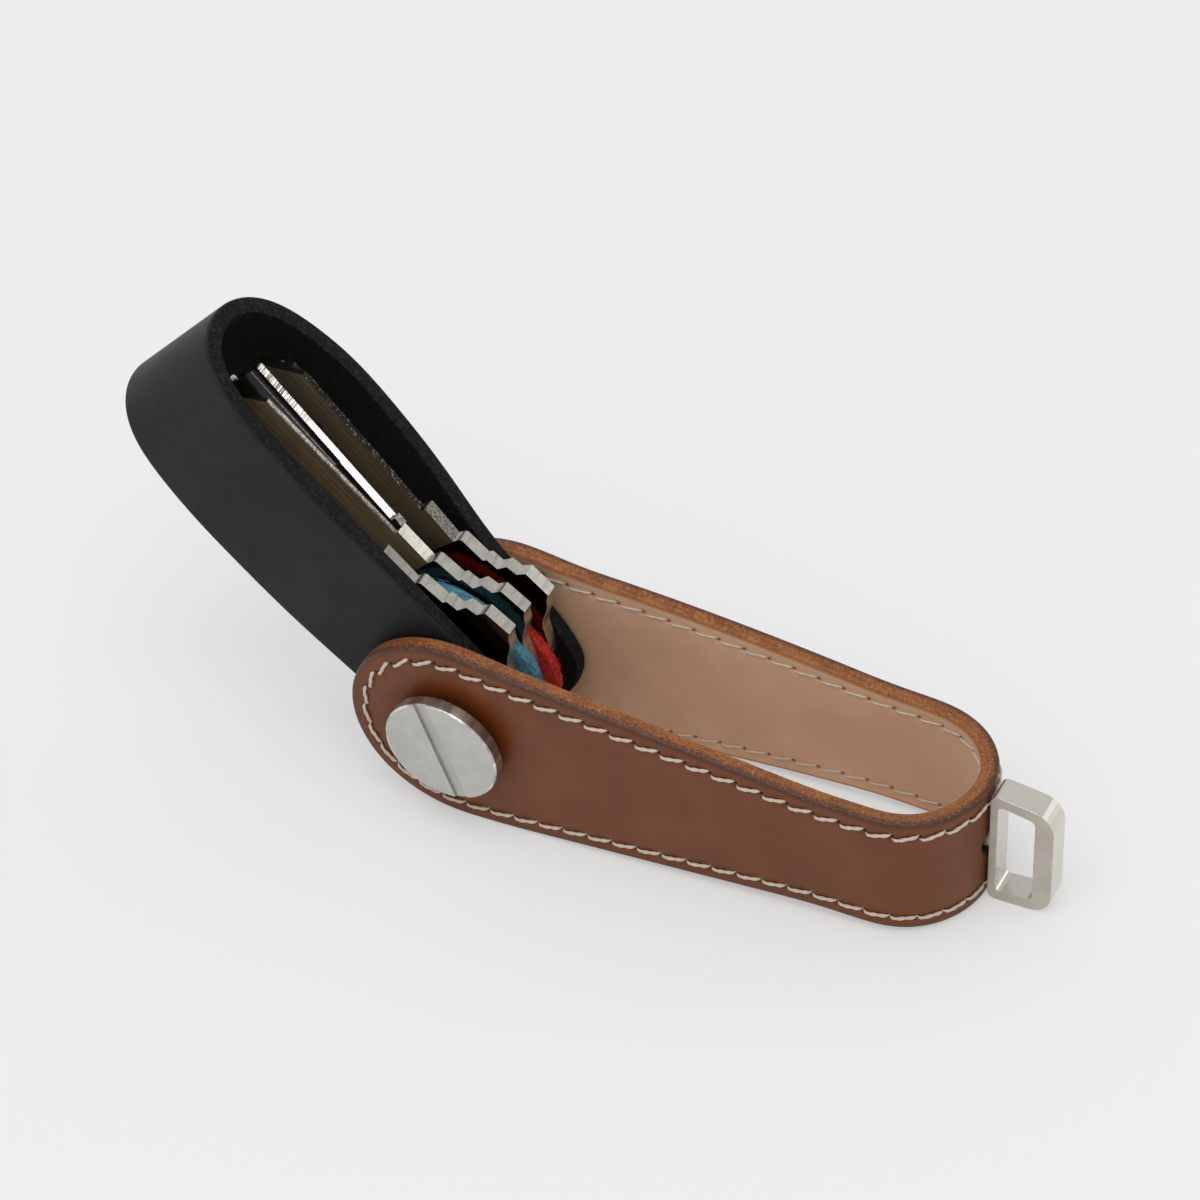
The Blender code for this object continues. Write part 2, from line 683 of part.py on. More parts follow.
BROWN = material("brown_leather", (0.180, 0.066, 0.034), 0.50)
TAN = material("tan_lining", (0.420, 0.260, 0.160), 0.65)
BLACK = material("black_leather", (0.025, 0.025, 0.027), 0.55)
NICKEL = material("satin_nickel", (0.520, 0.505, 0.460), 0.32, 1.0)
BRIGHT = material("bright_key", (0.600, 0.570, 0.480), 0.20, 1.0)
BLUE = material("blue_disc", (0.060, 0.220, 0.340), 0.90)
RED = material("red_disc", (0.520, 0.030, 0.030), 0.90)

STAND = empty(
    "stand", location=(-MIDDLE_FROM_PIVOT_X, -MIDDLE_FROM_PIVOT_Y, COVER_END_RADIUS),
    turn_y=resting_tilt())
build_cover(STAND)
build_screw(STAND)
LOOP_PIVOT = empty("loop_pivot", STAND, turn_y=math.radians(LOOP_RISE_DEG))
build_loop(LOOP_PIVOT)
build_stack(LOOP_PIVOT)
build_ring(STAND)
bpy.context.view_layer.update()
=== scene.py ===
"""Key organizer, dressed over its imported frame."""
import json
import math

import bmesh
import bpy
import numpy as np
from mathutils import Matrix, Vector


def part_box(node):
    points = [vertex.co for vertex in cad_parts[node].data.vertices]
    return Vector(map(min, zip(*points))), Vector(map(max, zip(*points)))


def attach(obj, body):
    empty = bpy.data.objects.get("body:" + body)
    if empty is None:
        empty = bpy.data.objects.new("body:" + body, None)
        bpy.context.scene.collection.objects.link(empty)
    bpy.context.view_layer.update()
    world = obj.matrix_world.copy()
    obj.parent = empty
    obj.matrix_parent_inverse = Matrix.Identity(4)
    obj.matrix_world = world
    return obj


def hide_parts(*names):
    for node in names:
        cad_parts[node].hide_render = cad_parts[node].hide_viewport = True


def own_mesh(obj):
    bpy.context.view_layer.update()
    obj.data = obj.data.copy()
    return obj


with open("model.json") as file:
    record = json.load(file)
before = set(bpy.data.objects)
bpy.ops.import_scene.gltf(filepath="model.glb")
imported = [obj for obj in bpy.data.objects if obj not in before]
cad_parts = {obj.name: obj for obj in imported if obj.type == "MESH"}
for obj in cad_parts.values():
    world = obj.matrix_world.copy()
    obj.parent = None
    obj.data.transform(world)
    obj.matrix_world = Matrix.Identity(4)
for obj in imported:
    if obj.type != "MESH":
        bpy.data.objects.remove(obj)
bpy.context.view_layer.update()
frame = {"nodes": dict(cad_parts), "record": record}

# ---- The set: a pale floor, a soft box overhead and the camera of the photograph.
# The organizer stands on its lower edges. Its pivot and its ring's axle give the frame that
# every piece below is drawn in: origin on the pivot, X along the cover, Y along the pivot.
MM = 0.001
joints = {joint["name"]: joint for joint in frame["record"]["behaviour"]["joints"]}
pivot = Vector(joints["loop_hinge"]["pos_m"])
axle = Vector(joints["ring_swivel"]["axis"])
cover_tilt = math.atan2(-axle.z, axle.x)
stand = Matrix.Translation(pivot) @ Matrix.Rotation(cover_tilt, 4, 'Y')


def linked(name, data):
    """Put a mesh, lamp or camera into the scene."""
    thing = bpy.data.objects.new(name, data)
    bpy.context.scene.collection.objects.link(thing)
    return thing


view_azimuth = math.radians(26.70)
view_elevation = math.radians(47.03)
view_lean = math.radians(5.53)
view_distance = 797.4 * MM
view_offset = Vector((14.67 * MM, 9.96 * MM, view_distance))
view_back = Vector((
    math.sin(view_azimuth) * math.cos(view_elevation),
    -math.cos(view_azimuth) * math.cos(view_elevation),
    math.sin(view_elevation)))
view_right = Vector((math.cos(view_azimuth), math.sin(view_azimuth), 0.0))
view_up = view_back.cross(view_right)
view_turn = Matrix((view_right, view_up, view_back)).transposed().to_4x4()
camera = linked("camera", bpy.data.cameras.new("camera"))
camera.data.sensor_width = 36.0
camera.data.lens = 166.2
camera.data.clip_start = 0.05
camera.data.clip_end = 20.0
camera.matrix_world = (
    Matrix.Translation(pivot) @ Matrix.Rotation(view_lean, 4, 'Y') @ view_turn
    @ Matrix.Translation(view_offset))
bpy.context.scene.camera = camera


def nodes_of(material):
    """Clear a material and give its node tree with an output."""
    material.use_nodes = True
    tree = material.node_tree
    tree.nodes.clear()
    return tree, tree.nodes.new("ShaderNodeOutputMaterial")


def place(name, mesh, surface, smooth_deg=30.0):
    """Link a mesh as a piece with one material."""
    piece = linked(name, mesh)
    mesh.materials.clear()
    mesh.materials.append(surface)
    mesh.shade_smooth()
    if smooth_deg:
        mesh.set_sharp_from_angle(angle=math.radians(smooth_deg))
    return piece


floor_mesh = bpy.data.meshes.new("floor")
work = bmesh.new()
bmesh.ops.create_grid(work, x_segments=1, y_segments=1, size=3.0)
work.to_mesh(floor_mesh)
work.free()
floor_paper = bpy.data.materials.new("floor_paper")
tree, out = nodes_of(floor_paper)
sheets = []
# One paper takes the light, and the other is what the camera and polished metal see.
for grey, glow in ((0.86, 0.0), (0.50, 0.375)):
    paper = tree.nodes.new("ShaderNodeBsdfPrincipled")
    paper.inputs["Base Color"].default_value = (grey, grey, grey * 1.01, 1.0)
    paper.inputs["Roughness"].default_value = 0.9
    paper.inputs["Specular IOR Level"].default_value = 0.1
    paper.inputs["Emission Color"].default_value = (1.0, 1.0, 1.0, 1.0)
    paper.inputs["Emission Strength"].default_value = glow
    sheets.append(paper)
rays = tree.nodes.new("ShaderNodeLightPath")
seen_by = tree.nodes.new("ShaderNodeMath")
seen_by.operation = 'MAXIMUM'
tree.links.new(rays.outputs["Is Camera Ray"], seen_by.inputs[0])
tree.links.new(rays.outputs["Is Glossy Ray"], seen_by.inputs[1])
paler = tree.nodes.new("ShaderNodeMixShader")
tree.links.new(seen_by.outputs[0], paler.inputs[0])
tree.links.new(sheets[0].outputs[0], paler.inputs[1])
tree.links.new(sheets[1].outputs[0], paler.inputs[2])
tree.links.new(paler.outputs[0], out.inputs["Surface"])
floor = place("floor", floor_mesh, floor_paper)

sky = bpy.data.worlds.new("studio")
bpy.context.scene.world = sky
sky.use_nodes = True
sky.node_tree.nodes["Background"].inputs["Color"].default_value = (1.0, 1.0, 1.0, 1.0)
sky.node_tree.nodes["Background"].inputs["Strength"].default_value = 0.66


def soft_box(name, size, power, location, target):
    """Hang a square area lamp and aim it."""
    lamp = bpy.data.lights.new(name, 'AREA')
    lamp.shape = 'SQUARE'
    lamp.size = size
    lamp.energy = power
    box = linked(name, lamp)
    box.location = location
    box.rotation_euler = (Vector(target) - Vector(location)).to_track_quat('-Z', 'Y').to_euler()


soft_box("overhead", 0.6, 2.3, (0.08, -0.16, 0.80), (0.0, 0.0, 0.02))
soft_box("left_fill", 0.5, 0.3, (-0.70, 0.10, 0.40), (0.0, 0.0, 0.03))
soft_box("back_strip", 0.17, 0.35, (0.70, 0.59, 0.28), (-0.04, 0.0, 0.05))
bpy.context.scene.view_settings.view_transform = 'Standard'

# ---- The cover: a strap of brown leather lined with tan leather, cut to a round end on each
# leg, folded once, its edges burnished. It is drawn flat as rings inside its outline and then
# bent along the fold's path, with a dent at every stitch hole.
COVER = dict(
    reach=77.0 * MM, fold=12.8 * MM, end_radius=16.45 * MM, narrow_half=10.8 * MM,
    taper_end=55.6 * MM, flat=9.3 * MM, near=(-14.2 * MM, -12.05 * MM),
    far=(10.5 * MM, 13.03 * MM), apex=1.4 * MM, thick=2.65 * MM, corner=0.55 * MM)
PLUMPER_AT_SCREW = 0.12
PLUMP_REACH = 26.0 * MM
STEM_HOLE = 2.25 * MM
STEM_Y = 1.6 * MM
ROW_INSET = 2.45 * MM
STITCH_PITCH = 3.9 * MM
ROW_DIP_RADIUS = 1.2 * MM
# How far round the pivot the painted shadow and warm reflection of the screw head reach.
SCREW_SHADE_OUT = 12.0 * MM
SCREW_SHADE_IN = 9.0 * MM


def eased(values, spread):
    """Soften the kinks of a row of numbers."""
    reach = int(spread * 3)
    kernel = np.exp(-0.5 * (np.arange(-reach, reach + 1) / spread) ** 2)
    padded = np.pad(values, reach, mode='reflect', reflect_type='odd')
    return np.convolve(padded, kernel / kernel.sum(), mode='valid')


class Band:
    """A folded strap: its path seen from above, with places along it counted from the pivot."""

    def __init__(self, near_leg, far_leg, reach, fold, apex, tail, ease=2.0 * MM, plumper=0.0):
        self.plumper = plumper
        step = 0.25 * MM
        straight = reach - fold
        along = np.arange(-tail, straight, step)
        turn = np.linspace(0.0, math.pi / 2, 90)
        near_y = near_leg(along)
        far_y = far_leg(along)
        fold_x = straight + fold * np.sin(turn)
        near_fold = apex + (near_leg(np.array([straight]))[0] - apex) * np.cos(turn)
        far_fold = apex + (far_leg(np.array([straight]))[0] - apex) * np.cos(turn)
        x = np.concatenate([along, fold_x, fold_x[::-1][1:], along[::-1]])
        y = np.concatenate([near_y, near_fold, far_fold[::-1][1:], far_y[::-1]])
        length = np.concatenate([[0.0], np.cumsum(np.hypot(np.diff(x), np.diff(y)))])
        even = np.arange(0.0, length[-1], step)
        self.x = eased(np.interp(even, length, x), ease / step)
        self.y = eased(np.interp(even, length, y), ease / step)
        length = np.concatenate([[0.0], np.cumsum(np.hypot(np.diff(self.x), np.diff(self.y)))])
        start = length[np.argmin(np.where(length < length[-1] / 2, abs(self.x), 9.0))]
        stop = length[np.argmin(np.where(length > length[-1] / 2, abs(self.x), 9.0))]
        self.length = length - start
        self.span = stop - start
        dx = np.gradient(self.x, self.length)
        dy = np.gradient(self.y, self.length)
        size = np.hypot(dx, dy)
        self.nx, self.ny = dy / size, -dx / size
        fold_end = abs(self.x - self.x.max()) < 3.0 * MM
        self.stem = np.interp(STEM_Y, self.y[fold_end], self.length[fold_end])

    def at(self, along, across, depth):
        """Bend flat places (along, across, depth under the outer face) into space."""
        x = np.interp(along, self.length, self.x)
        y = np.interp(along, self.length, self.y)
        nx = np.interp(along, self.length, self.nx)
        ny = np.interp(along, self.length, self.ny)
        depth = depth * (
            1.0 + self.plumper * np.exp(-(np.maximum(along, 0.0) / PLUMP_REACH) ** 2))
        return np.stack([x - nx * depth, y - ny * depth, across], axis=-1)

    def facing(self, along):
        """Give the outward normal at places along the band."""
        nx = np.interp(along, self.length, self.nx)
        ny = np.interp(along, self.length, self.ny)
        return np.stack([nx, ny, np.zeros_like(nx)], axis=-1)


def cover_leg(ends, bow):
    """Give one leg's outer face: flat under the screw's head, then running to the fold."""
    def face(along):
        share = np.clip((along - COVER["flat"]) / (
            COVER["reach"] - COVER["fold"] - COVER["flat"]), 0.0, 1.0)
        return ends[1] + (ends[0] - ends[1]) * (1.0 - share) ** bow
    return face


cover_band = Band(
    cover_leg(COVER["near"], 1.0), cover_leg(COVER["far"], 2.4), COVER["reach"], COVER["fold"],
    COVER["apex"], COVER["end_radius"] + 1.0 * MM, plumper=PLUMPER_AT_SCREW)


def half_outline(span, radius, half, taper_end, step):
    """Draw one half of the flat strap: a round end, a taper, a straight run, and back."""
    count = int(radius * math.pi / 2 / step)
    turn = np.linspace(0.0, math.pi / 2, count)
    end_s, end_w = -radius * np.cos(turn), radius * np.sin(turn)
    run = np.arange(step, span - step / 2, step)
    share = np.clip(np.minimum(run, span - run) / taper_end, 0.0, 1.0)
    run_w = radius + (half - radius) * share
    s = np.concatenate([end_s, run, (span - end_s)[::-1]])
    w = np.concatenate([end_w, run_w, end_w[::-1]])
    index = np.arange(len(w))
    blend = count * 0.4
    share = np.clip((np.minimum(index, index[::-1]) - blend) / blend, 0.0, 1.0)
    w += (eased(w, 8.0) - w) * share ** 2 * (3.0 - 2.0 * share)
    return s, w


def inset(s, w, depth):
    """Move a half outline inward."""
    ds, dw = np.gradient(s), np.gradient(w)
    ds[0] = ds[-1] = 0.0
    dw[0], dw[-1] = 1.0, -1.0
    size = np.hypot(ds, dw)
    inner_w = w - ds / size * depth
    inner_w[0] = inner_w[-1] = 0.0
    return s + dw / size * depth, np.maximum(inner_w, 0.0)


def row_places(s, w, depth, pitch):
    """Space stitches round the whole outline at one inset: place, across and heading."""
    inner_s, inner_w = inset(s, w, depth)
    loop_s = np.concatenate([inner_s, inner_s[::-1][1:-1]])
    loop_w = np.concatenate([inner_w, -inner_w[::-1][1:-1]])
    loop_s, loop_w = np.append(loop_s, loop_s[0]), np.append(loop_w, loop_w[0])
    length = np.concatenate([[0.0], np.cumsum(np.hypot(np.diff(loop_s), np.diff(loop_w)))])
    count = round(length[-1] / pitch)
    marks = (np.arange(count) + 0.5) * length[-1] / count
    ahead = marks + length[-1] / count / 2
    place_s, place_w = np.interp(marks, length, loop_s), np.interp(marks, length, loop_w)
    hole_s, hole_w = np.interp(ahead, length, loop_s), np.interp(ahead, length, loop_w)
    next_s = np.interp((marks + 0.2 * MM) % length[-1], length, loop_s) - place_s
    next_w = np.interp((marks + 0.2 * MM) % length[-1], length, loop_w) - place_w
    return place_s, place_w, np.arctan2(next_w, next_s), hole_s, hole_w


def face_depths(corner, thick, edge_steps=6):
    """List a strap's section from the middle of its outer face, over the edge, to the inner."""
    flat = [7.0, 6.2, 5.5, 4.9, 4.4, 4.1, 3.8, 3.55, 3.3, 3.05, 2.8, 2.5, 2.2, 1.8, 1.4, 1.0]
    section = [(d * MM, 0.0) for d in flat]
    for turn in np.linspace(0.0, math.pi / 2, 5):
        section.append((corner - corner * math.sin(turn), corner - corner * math.cos(turn)))
    face = list(section)
    middle = np.linspace(corner, thick - corner, edge_steps)[1:-1]
    bulge = 0.10 * MM
    for depth in middle:
        swell = bulge * math.sin(math.pi * (depth - corner) / (thick - 2 * corner))
        section.append((-swell, depth))
    return section + [(d, thick - t) for d, t in face[::-1]]


def closed_up(work, mesh):
    """Turn a piece's faces outward and write them to its mesh."""
    bmesh.ops.recalc_face_normals(work, faces=work.faces)
    work.to_mesh(mesh)
    work.free()
    return mesh


def band_mesh(name, band, outline, section, thick, dents, fill=16):
    """Build a closed strap: rings inside its outline, rows across its middle, then bent."""
    s, w = outline
    rings = [inset(s, w, d) for d, _ in section]
    depth = np.array([t for _, t in section])
    top_s = np.stack([ring[0] for ring in rings], axis=1)
    top_w = np.stack([ring[1] for ring in rings], axis=1)
    rim = np.array([max(d, 0.0) for d, _ in section])
    share = np.linspace(1.0, -1.0, fill + 2)[1:-1]
    count = len(s)

    def row(column, sheet):
        row_s = np.repeat(top_s[:, [column]], fill, axis=1)
        row_w = top_w[:, [column]] * share[None, :]
        return row_s, row_w, np.full(fill, sheet), np.full(fill, rim[column])

    in_s, in_w, in_t, in_r = row(-1, thick)
    out_s, out_w, out_t, out_r = row(0, 0.0)
    flip = slice(None, None, -1)
    all_s = np.concatenate([top_s, in_s, top_s[:, flip], out_s[:, flip]], axis=1)
    all_w = np.concatenate([top_w, in_w, -top_w[:, flip], out_w[:, flip]], axis=1)
    all_t = np.concatenate([depth, in_t, depth[flip], out_t])[None, :].repeat(count, axis=0)
    all_r = np.concatenate([rim, in_r, rim[flip], out_r])[None, :].repeat(count, axis=0)
    sink = dents(all_s, all_w, all_t)
    places = band.at(all_s.ravel(), all_w.ravel(), (all_t + sink).ravel())
    columns = all_s.shape[1]
    i, j = np.meshgrid(np.arange(count - 1), np.arange(columns), indexing='ij')
    k = (j + 1) % columns
    quads = np.stack([i * columns + j, i * columns + k, (i + 1) * columns + k,
                      (i + 1) * columns + j], axis=-1).reshape(-1, 4)
    mesh = bpy.data.meshes.new(name)
    mesh.from_pydata(places.tolist(), [], quads.tolist())
    for label, values in (("depth", all_t / thick), ("rim", all_r), ("sunk", abs(sink))):
        layer = mesh.attributes.new(label, 'FLOAT', 'POINT')
        layer.data.foreach_set("value", values.ravel().astype(np.float32))
    layer = mesh.attributes.new("hide", 'FLOAT_VECTOR', 'POINT')
    places = np.stack([all_s, all_w, all_t], axis=-1).ravel().astype(np.float32)
    layer.data.foreach_set("vector", places)
    work = bmesh.new()
    work.from_mesh(mesh)
    bmesh.ops.remove_doubles(work, verts=work.verts, dist=0.002 * MM)
    bmesh.ops.dissolve_degenerate(work, edges=work.edges, dist=0.002 * MM)
    return closed_up(work, mesh)


cover_outline = half_outline(
    cover_band.span, COVER["end_radius"], COVER["narrow_half"], COVER["taper_end"], 0.32 * MM)
seam = row_places(*cover_outline, ROW_INSET, STITCH_PITCH)


def press(sink, s, w, spots, radius, deep, reach):
    """Press a soft round dent at each spot."""
    for spot_s, spot_w in spots:
        near = (abs(s - spot_s) < reach) & (abs(w - spot_w) < reach)
        away = ((s[near] - spot_s) ** 2 + (w[near] - spot_w) ** 2) / radius ** 2
        sink[near] = np.maximum(sink[near], deep * np.exp(-away))


def hole_dents(radius, deep, between):
    """Sink the leather at each stitch hole and lightly along the row, on both faces, and make
    the stem's hole as a pit from each face that nearly meets the other."""
    def dents(s, w, t):
        place_s, place_w, _, hole_s, hole_w = seam
        sink = np.zeros_like(s)
        press(sink, s, w, zip(hole_s, hole_w), radius, deep, 4 * radius)
        press(sink, s, w, zip(place_s, place_w), ROW_DIP_RADIUS, between, 2.5 * ROW_DIP_RADIUS)
        face = np.clip(1.0 - 2.0 * t / COVER["thick"], -1.0, 1.0)
        off = np.hypot(s - cover_band.stem, w) / STEM_HOLE
        pit = COVER["thick"] * 0.49 * np.clip(1.5 - (off - 0.9) * 5.0, 0.0, 1.0)
        return np.where(off < 1.3, pit, sink) * face
    return dents


cover_mesh = band_mesh(
    "cover_leather", cover_band, cover_outline,
    face_depths(COVER["corner"], COVER["thick"]), COVER["thick"],
    hole_dents(radius=0.40 * MM, deep=0.50 * MM, between=0.08 * MM))
cover_mesh.transform(stand)


def feed(tree, socket, value):
    """Set a socket to a number or a colour, or link it to another node's output."""
    if isinstance(value, (int, float)):
        socket.default_value = value
    elif isinstance(value, tuple):
        socket.default_value = (*value, 1.0)
    elif value is not None:
        tree.links.new(value, socket)


def math_node(tree, operation, a, b=None):
    """Add a math node on sockets or numbers and give its output."""
    node = tree.nodes.new("ShaderNodeMath")
    node.operation = operation
    feed(tree, node.inputs[0], a)
    feed(tree, node.inputs[1], b)
    return node.outputs[0]


def times(tree, a, b):
    """Multiply two values."""
    return math_node(tree, 'MULTIPLY', a, b)


def plus(tree, a, b):
    """Add two values."""
    return math_node(tree, 'ADD', a, b)


def mix_colours(tree, factor, a, b):
    """Mix two colours: in this node, sockets 0, 6 and 7 are the share and the colours."""
    node = tree.nodes.new("ShaderNodeMix")
    node.data_type = 'RGBA'
    for index, value in ((0, factor), (6, a), (7, b)):
        feed(tree, node.inputs[index], value)
    return node.outputs[2]


def ramp(tree, value, start, end):
    """Run a value smoothly from nought at start to one at end."""
    node = tree.nodes.new("ShaderNodeMapRange")
    node.interpolation_type = 'SMOOTHSTEP'
    for name, number in (("Value", value), ("From Min", start), ("From Max", end)):
        feed(tree, node.inputs[name], number)
    return node.outputs["Result"]


def attribute(tree, name, kind="Fac"):
    """Read what is painted on the mesh: a number, or a place as its Vector."""
    node = tree.nodes.new("ShaderNodeAttribute")
    node.attribute_name = name
    return node.outputs[kind]


def spot_on(tree, on=None, stretch=None):
    """Read the place on the piece, painted on its mesh or as it stands, and stretch it."""
    spot = (attribute(tree, on, "Vector") if on
            else tree.nodes.new("ShaderNodeTexCoord").outputs["Object"])
    if stretch:
        turn = tree.nodes.new("ShaderNodeMapping")
        turn.inputs["Scale"].default_value = stretch
        tree.links.new(spot, turn.inputs["Vector"])
        spot = turn.outputs[0]
    return spot


def part_of(tree, vector, axis):
    """Read one coordinate of a place or normal."""
    split = tree.nodes.new("ShaderNodeSeparateXYZ")
    tree.links.new(vector, split.inputs[0])
    return split.outputs[axis]


def grain_at(tree, spot, scale, detail=3.0, rough=0.5):
    """Add a noise at a place and give its value."""
    node = tree.nodes.new("ShaderNodeTexNoise")
    for name, value in (
            ("Vector", spot), ("Scale", scale), ("Detail", detail), ("Roughness", rough)):
        feed(tree, node.inputs[name], value)
    return node.outputs["Fac"]


def noise(tree, scale, detail=3.0, rough=0.5, stretch=None, on=None):
    """Add a noise on the piece and give its value."""
    return grain_at(tree, spot_on(tree, on, stretch), scale, detail, rough)


def mottling_group():
    """Build the effect that the finishes share: a noise that turns one colour into another."""
    group = bpy.data.node_groups.new("mottling", 'ShaderNodeTree')
    for way, kind, names in (
            ('INPUT', "Vector", ("Place",)),
            ('INPUT', "Float", ("Scale", "Detail", "Roughness", "Start", "End")),
            ('INPUT', "Color", ("Ground", "Fleck")),
            ('OUTPUT', "Color", ("Colour",)), ('OUTPUT', "Float", ("Grain",))):
        for name in names:
            group.interface.new_socket(name, in_out=way, socket_type="NodeSocket" + kind)
    given = group.nodes.new("NodeGroupInput").outputs
    result = group.nodes.new("NodeGroupOutput").inputs
    grain = grain_at(
        group, given["Place"], given["Scale"], given["Detail"], given["Roughness"])
    share = ramp(group, grain, given["Start"], given["End"])
    group.links.new(
        mix_colours(group, share, given["Ground"], given["Fleck"]), result["Colour"])
    group.links.new(grain, result["Grain"])
    return group


mottling = mottling_group()


def mottle(tree, ground, fleck, span, scale, detail=3.0, rough=0.5, stretch=None, on=None):
    """Place the mottling in a material and give its colour and its grain."""
    node = tree.nodes.new("ShaderNodeGroup")
    node.node_tree = mottling
    for name, value in (
            ("Place", spot_on(tree, on, stretch)), ("Scale", scale), ("Detail", detail),
            ("Roughness", rough), ("Start", span[0]), ("End", span[1]), ("Ground", ground),
            ("Fleck", fleck)):
        feed(tree, node.inputs[name], value)
    return node.outputs["Colour"], node.outputs["Grain"]


def bump(tree, height, strength, distance):
    """Turn a height into a normal."""
    node = tree.nodes.new("ShaderNodeBump")
    node.inputs["Strength"].default_value = strength
    node.inputs["Distance"].default_value = distance
    tree.links.new(height, node.inputs["Height"])
    return node.outputs["Normal"]


def shader(tree, out, colour, rough, normal, **fixed):
    """Add the Principled shader on colour, roughness and normal."""
    node = tree.nodes.new("ShaderNodeBsdfPrincipled")
    for name, value in (("Base Color", colour), ("Roughness", rough), ("Normal", normal)):
        feed(tree, node.inputs[name], value)
    for name, value in fixed.items():
        node.inputs[name.replace("_", " ")].default_value = value
    tree.links.new(node.outputs[0], out.inputs["Surface"])
    return node


cover_leather = bpy.data.materials.new("cover_leather")
tree, out = nodes_of(cover_leather)
# Depth runs from 0 on the outer face to 1 on the inner, and rim is the way in from the edge.
depth = attribute(tree, "depth")
rim = attribute(tree, "rim")
brown, cloudy = mottle(
    tree, (0.150, 0.046, 0.0138), (0.177, 0.055, 0.0165), (0.35, 0.70), 90.0, 4.0, on="hide")
# Painted shadow and warm reflection of the screw head, over the burnish where the head presses:
# the leather turns red-brown toward the head.
flat_place = tree.nodes.new("ShaderNodeVectorMath")
flat_place.operation = 'MULTIPLY'
flat_place.inputs[1].default_value = (1.0, 1.0, 0.0)
tree.links.new(attribute(tree, "hide", "Vector"), flat_place.inputs[0])
from_pivot = tree.nodes.new("ShaderNodeVectorMath")
from_pivot.operation = 'LENGTH'
tree.links.new(flat_place.outputs[0], from_pivot.inputs[0])
screw_shade = ramp(tree, from_pivot.outputs["Value"], SCREW_SHADE_OUT, SCREW_SHADE_IN)
brown = mix_colours(tree, screw_shade, brown, (0.150, 0.036, 0.007))
brown = mix_colours(tree, ramp(tree, rim, 1.3 * MM, 0.0), brown, (0.100, 0.036, 0.018))
burnish, _ = mottle(
    tree, (0.330, 0.120, 0.036), (0.215, 0.074, 0.025), (0.3, 0.7), 300.0, on="hide")
burnish, grit = mottle(
    tree, burnish, (0.480, 0.190, 0.062), (0.52, 0.66), 2300.0, 4.0, 0.8, on="hide")
burnish = mix_colours(tree, ramp(tree, grit, 0.46, 0.36), burnish, (0.120, 0.045, 0.020))
streaks = noise(tree, 3400.0, 5.0, 0.8, (0.7, 1.0, 1.0), on="hide")
dark_share = plus(tree, streaks, times(tree, ramp(tree, depth, 0.62, 0.05), 0.26))
burnish = mix_colours(
    tree, ramp(tree, dark_share, 0.50, 0.78), burnish, (0.075, 0.032, 0.020))
glue_line = times(tree, ramp(tree, depth, 0.60, 0.64), ramp(tree, depth, 0.69, 0.65))
burnish = mix_colours(tree, times(tree, glue_line, 0.45), burnish, (0.120, 0.045, 0.020))
tan = mix_colours(
    tree, ramp(tree, cloudy, 0.30, 0.72), (0.650, 0.425, 0.280), (0.730, 0.490, 0.330))
tan = mix_colours(tree, ramp(tree, rim, 0.9 * MM, 0.3 * MM), tan, (0.400, 0.160, 0.055))
on_edge = times(tree, ramp(tree, depth, 0.010, 0.05), ramp(tree, rim, 0.6 * MM, 0.4 * MM))
inside = ramp(tree, depth, 0.93, 0.985)
colour = mix_colours(tree, on_edge, brown, burnish)
colour = mix_colours(tree, inside, colour, tan)
# Painted shade in the stitch holes: near black on the outer face, darker on the lining.
hole = mix_colours(tree, inside, (0.030, 0.012, 0.007), (0.300, 0.150, 0.080))
sunk = ramp(tree, attribute(tree, "sunk"), 0.12 * MM, 0.40 * MM)
colour = mix_colours(tree, sunk, colour, hole)
rough = mix_colours(tree, inside, (0.40, 0.40, 0.40), (0.60, 0.60, 0.60))
pores = noise(tree, 420.0, 5.0, 0.7, on="hide")
grain = plus(tree, noise(tree, 1400.0, 3.0, on="hide"), times(tree, pores, 1.2))
fibrous = plus(tree, times(tree, on_edge, 1.6), 1.0)
pebbles = noise(tree, 1100.0, 2.0, 0.4, on="hide")
grain = mix_colours(tree, inside, times(tree, grain, fibrous), times(tree, pebbles, 3.0))
shader(tree, out, colour, rough, bump(tree, grain, 0.17, 0.10 * MM), Specular_IOR_Level=0.24)

cover_piece = place("cover_leather", cover_mesh, cover_leather, 0)
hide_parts("cover_strap", "cover_lining")
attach(cover_piece, "cover")

# ---- The sewing: off-white waxed thread in slanted stitches all round, on both faces.
# Each stitch is one short bar that dips into its holes; a node tree sets one on every place
# of the row, turned by the leather's normal and heading.
LEAN_WIDTH = 8.0 * MM
STEM_SPREAD = 13.0 * MM

thread = bpy.data.materials.new("waxed_thread")
tree, out = nodes_of(thread)
twist = noise(tree, 2600.0, 2.0)
shader(tree, out, mix_colours(tree, twist, (0.50, 0.42, 0.33), (0.72, 0.64, 0.54)), 0.7,
       bump(tree, twist, 0.5, 0.10 * MM))


def skin(work, rings):
    """Join closed rings of points by faces."""
    for a, b in zip(rings, rings[1:]):
        for k in range(len(a)):
            j = (k + 1) % len(a)
            work.faces.new(list(dict.fromkeys((a[k], a[j], b[j], b[k]))))


def applied(thing):
    """Turn an object and its modifiers into a plain mesh, and take the object away."""
    bpy.context.view_layer.update()
    graph = bpy.context.evaluated_depsgraph_get()
    mesh = bpy.data.meshes.new_from_object(thing.evaluated_get(graph))
    bpy.data.objects.remove(thing)
    return mesh


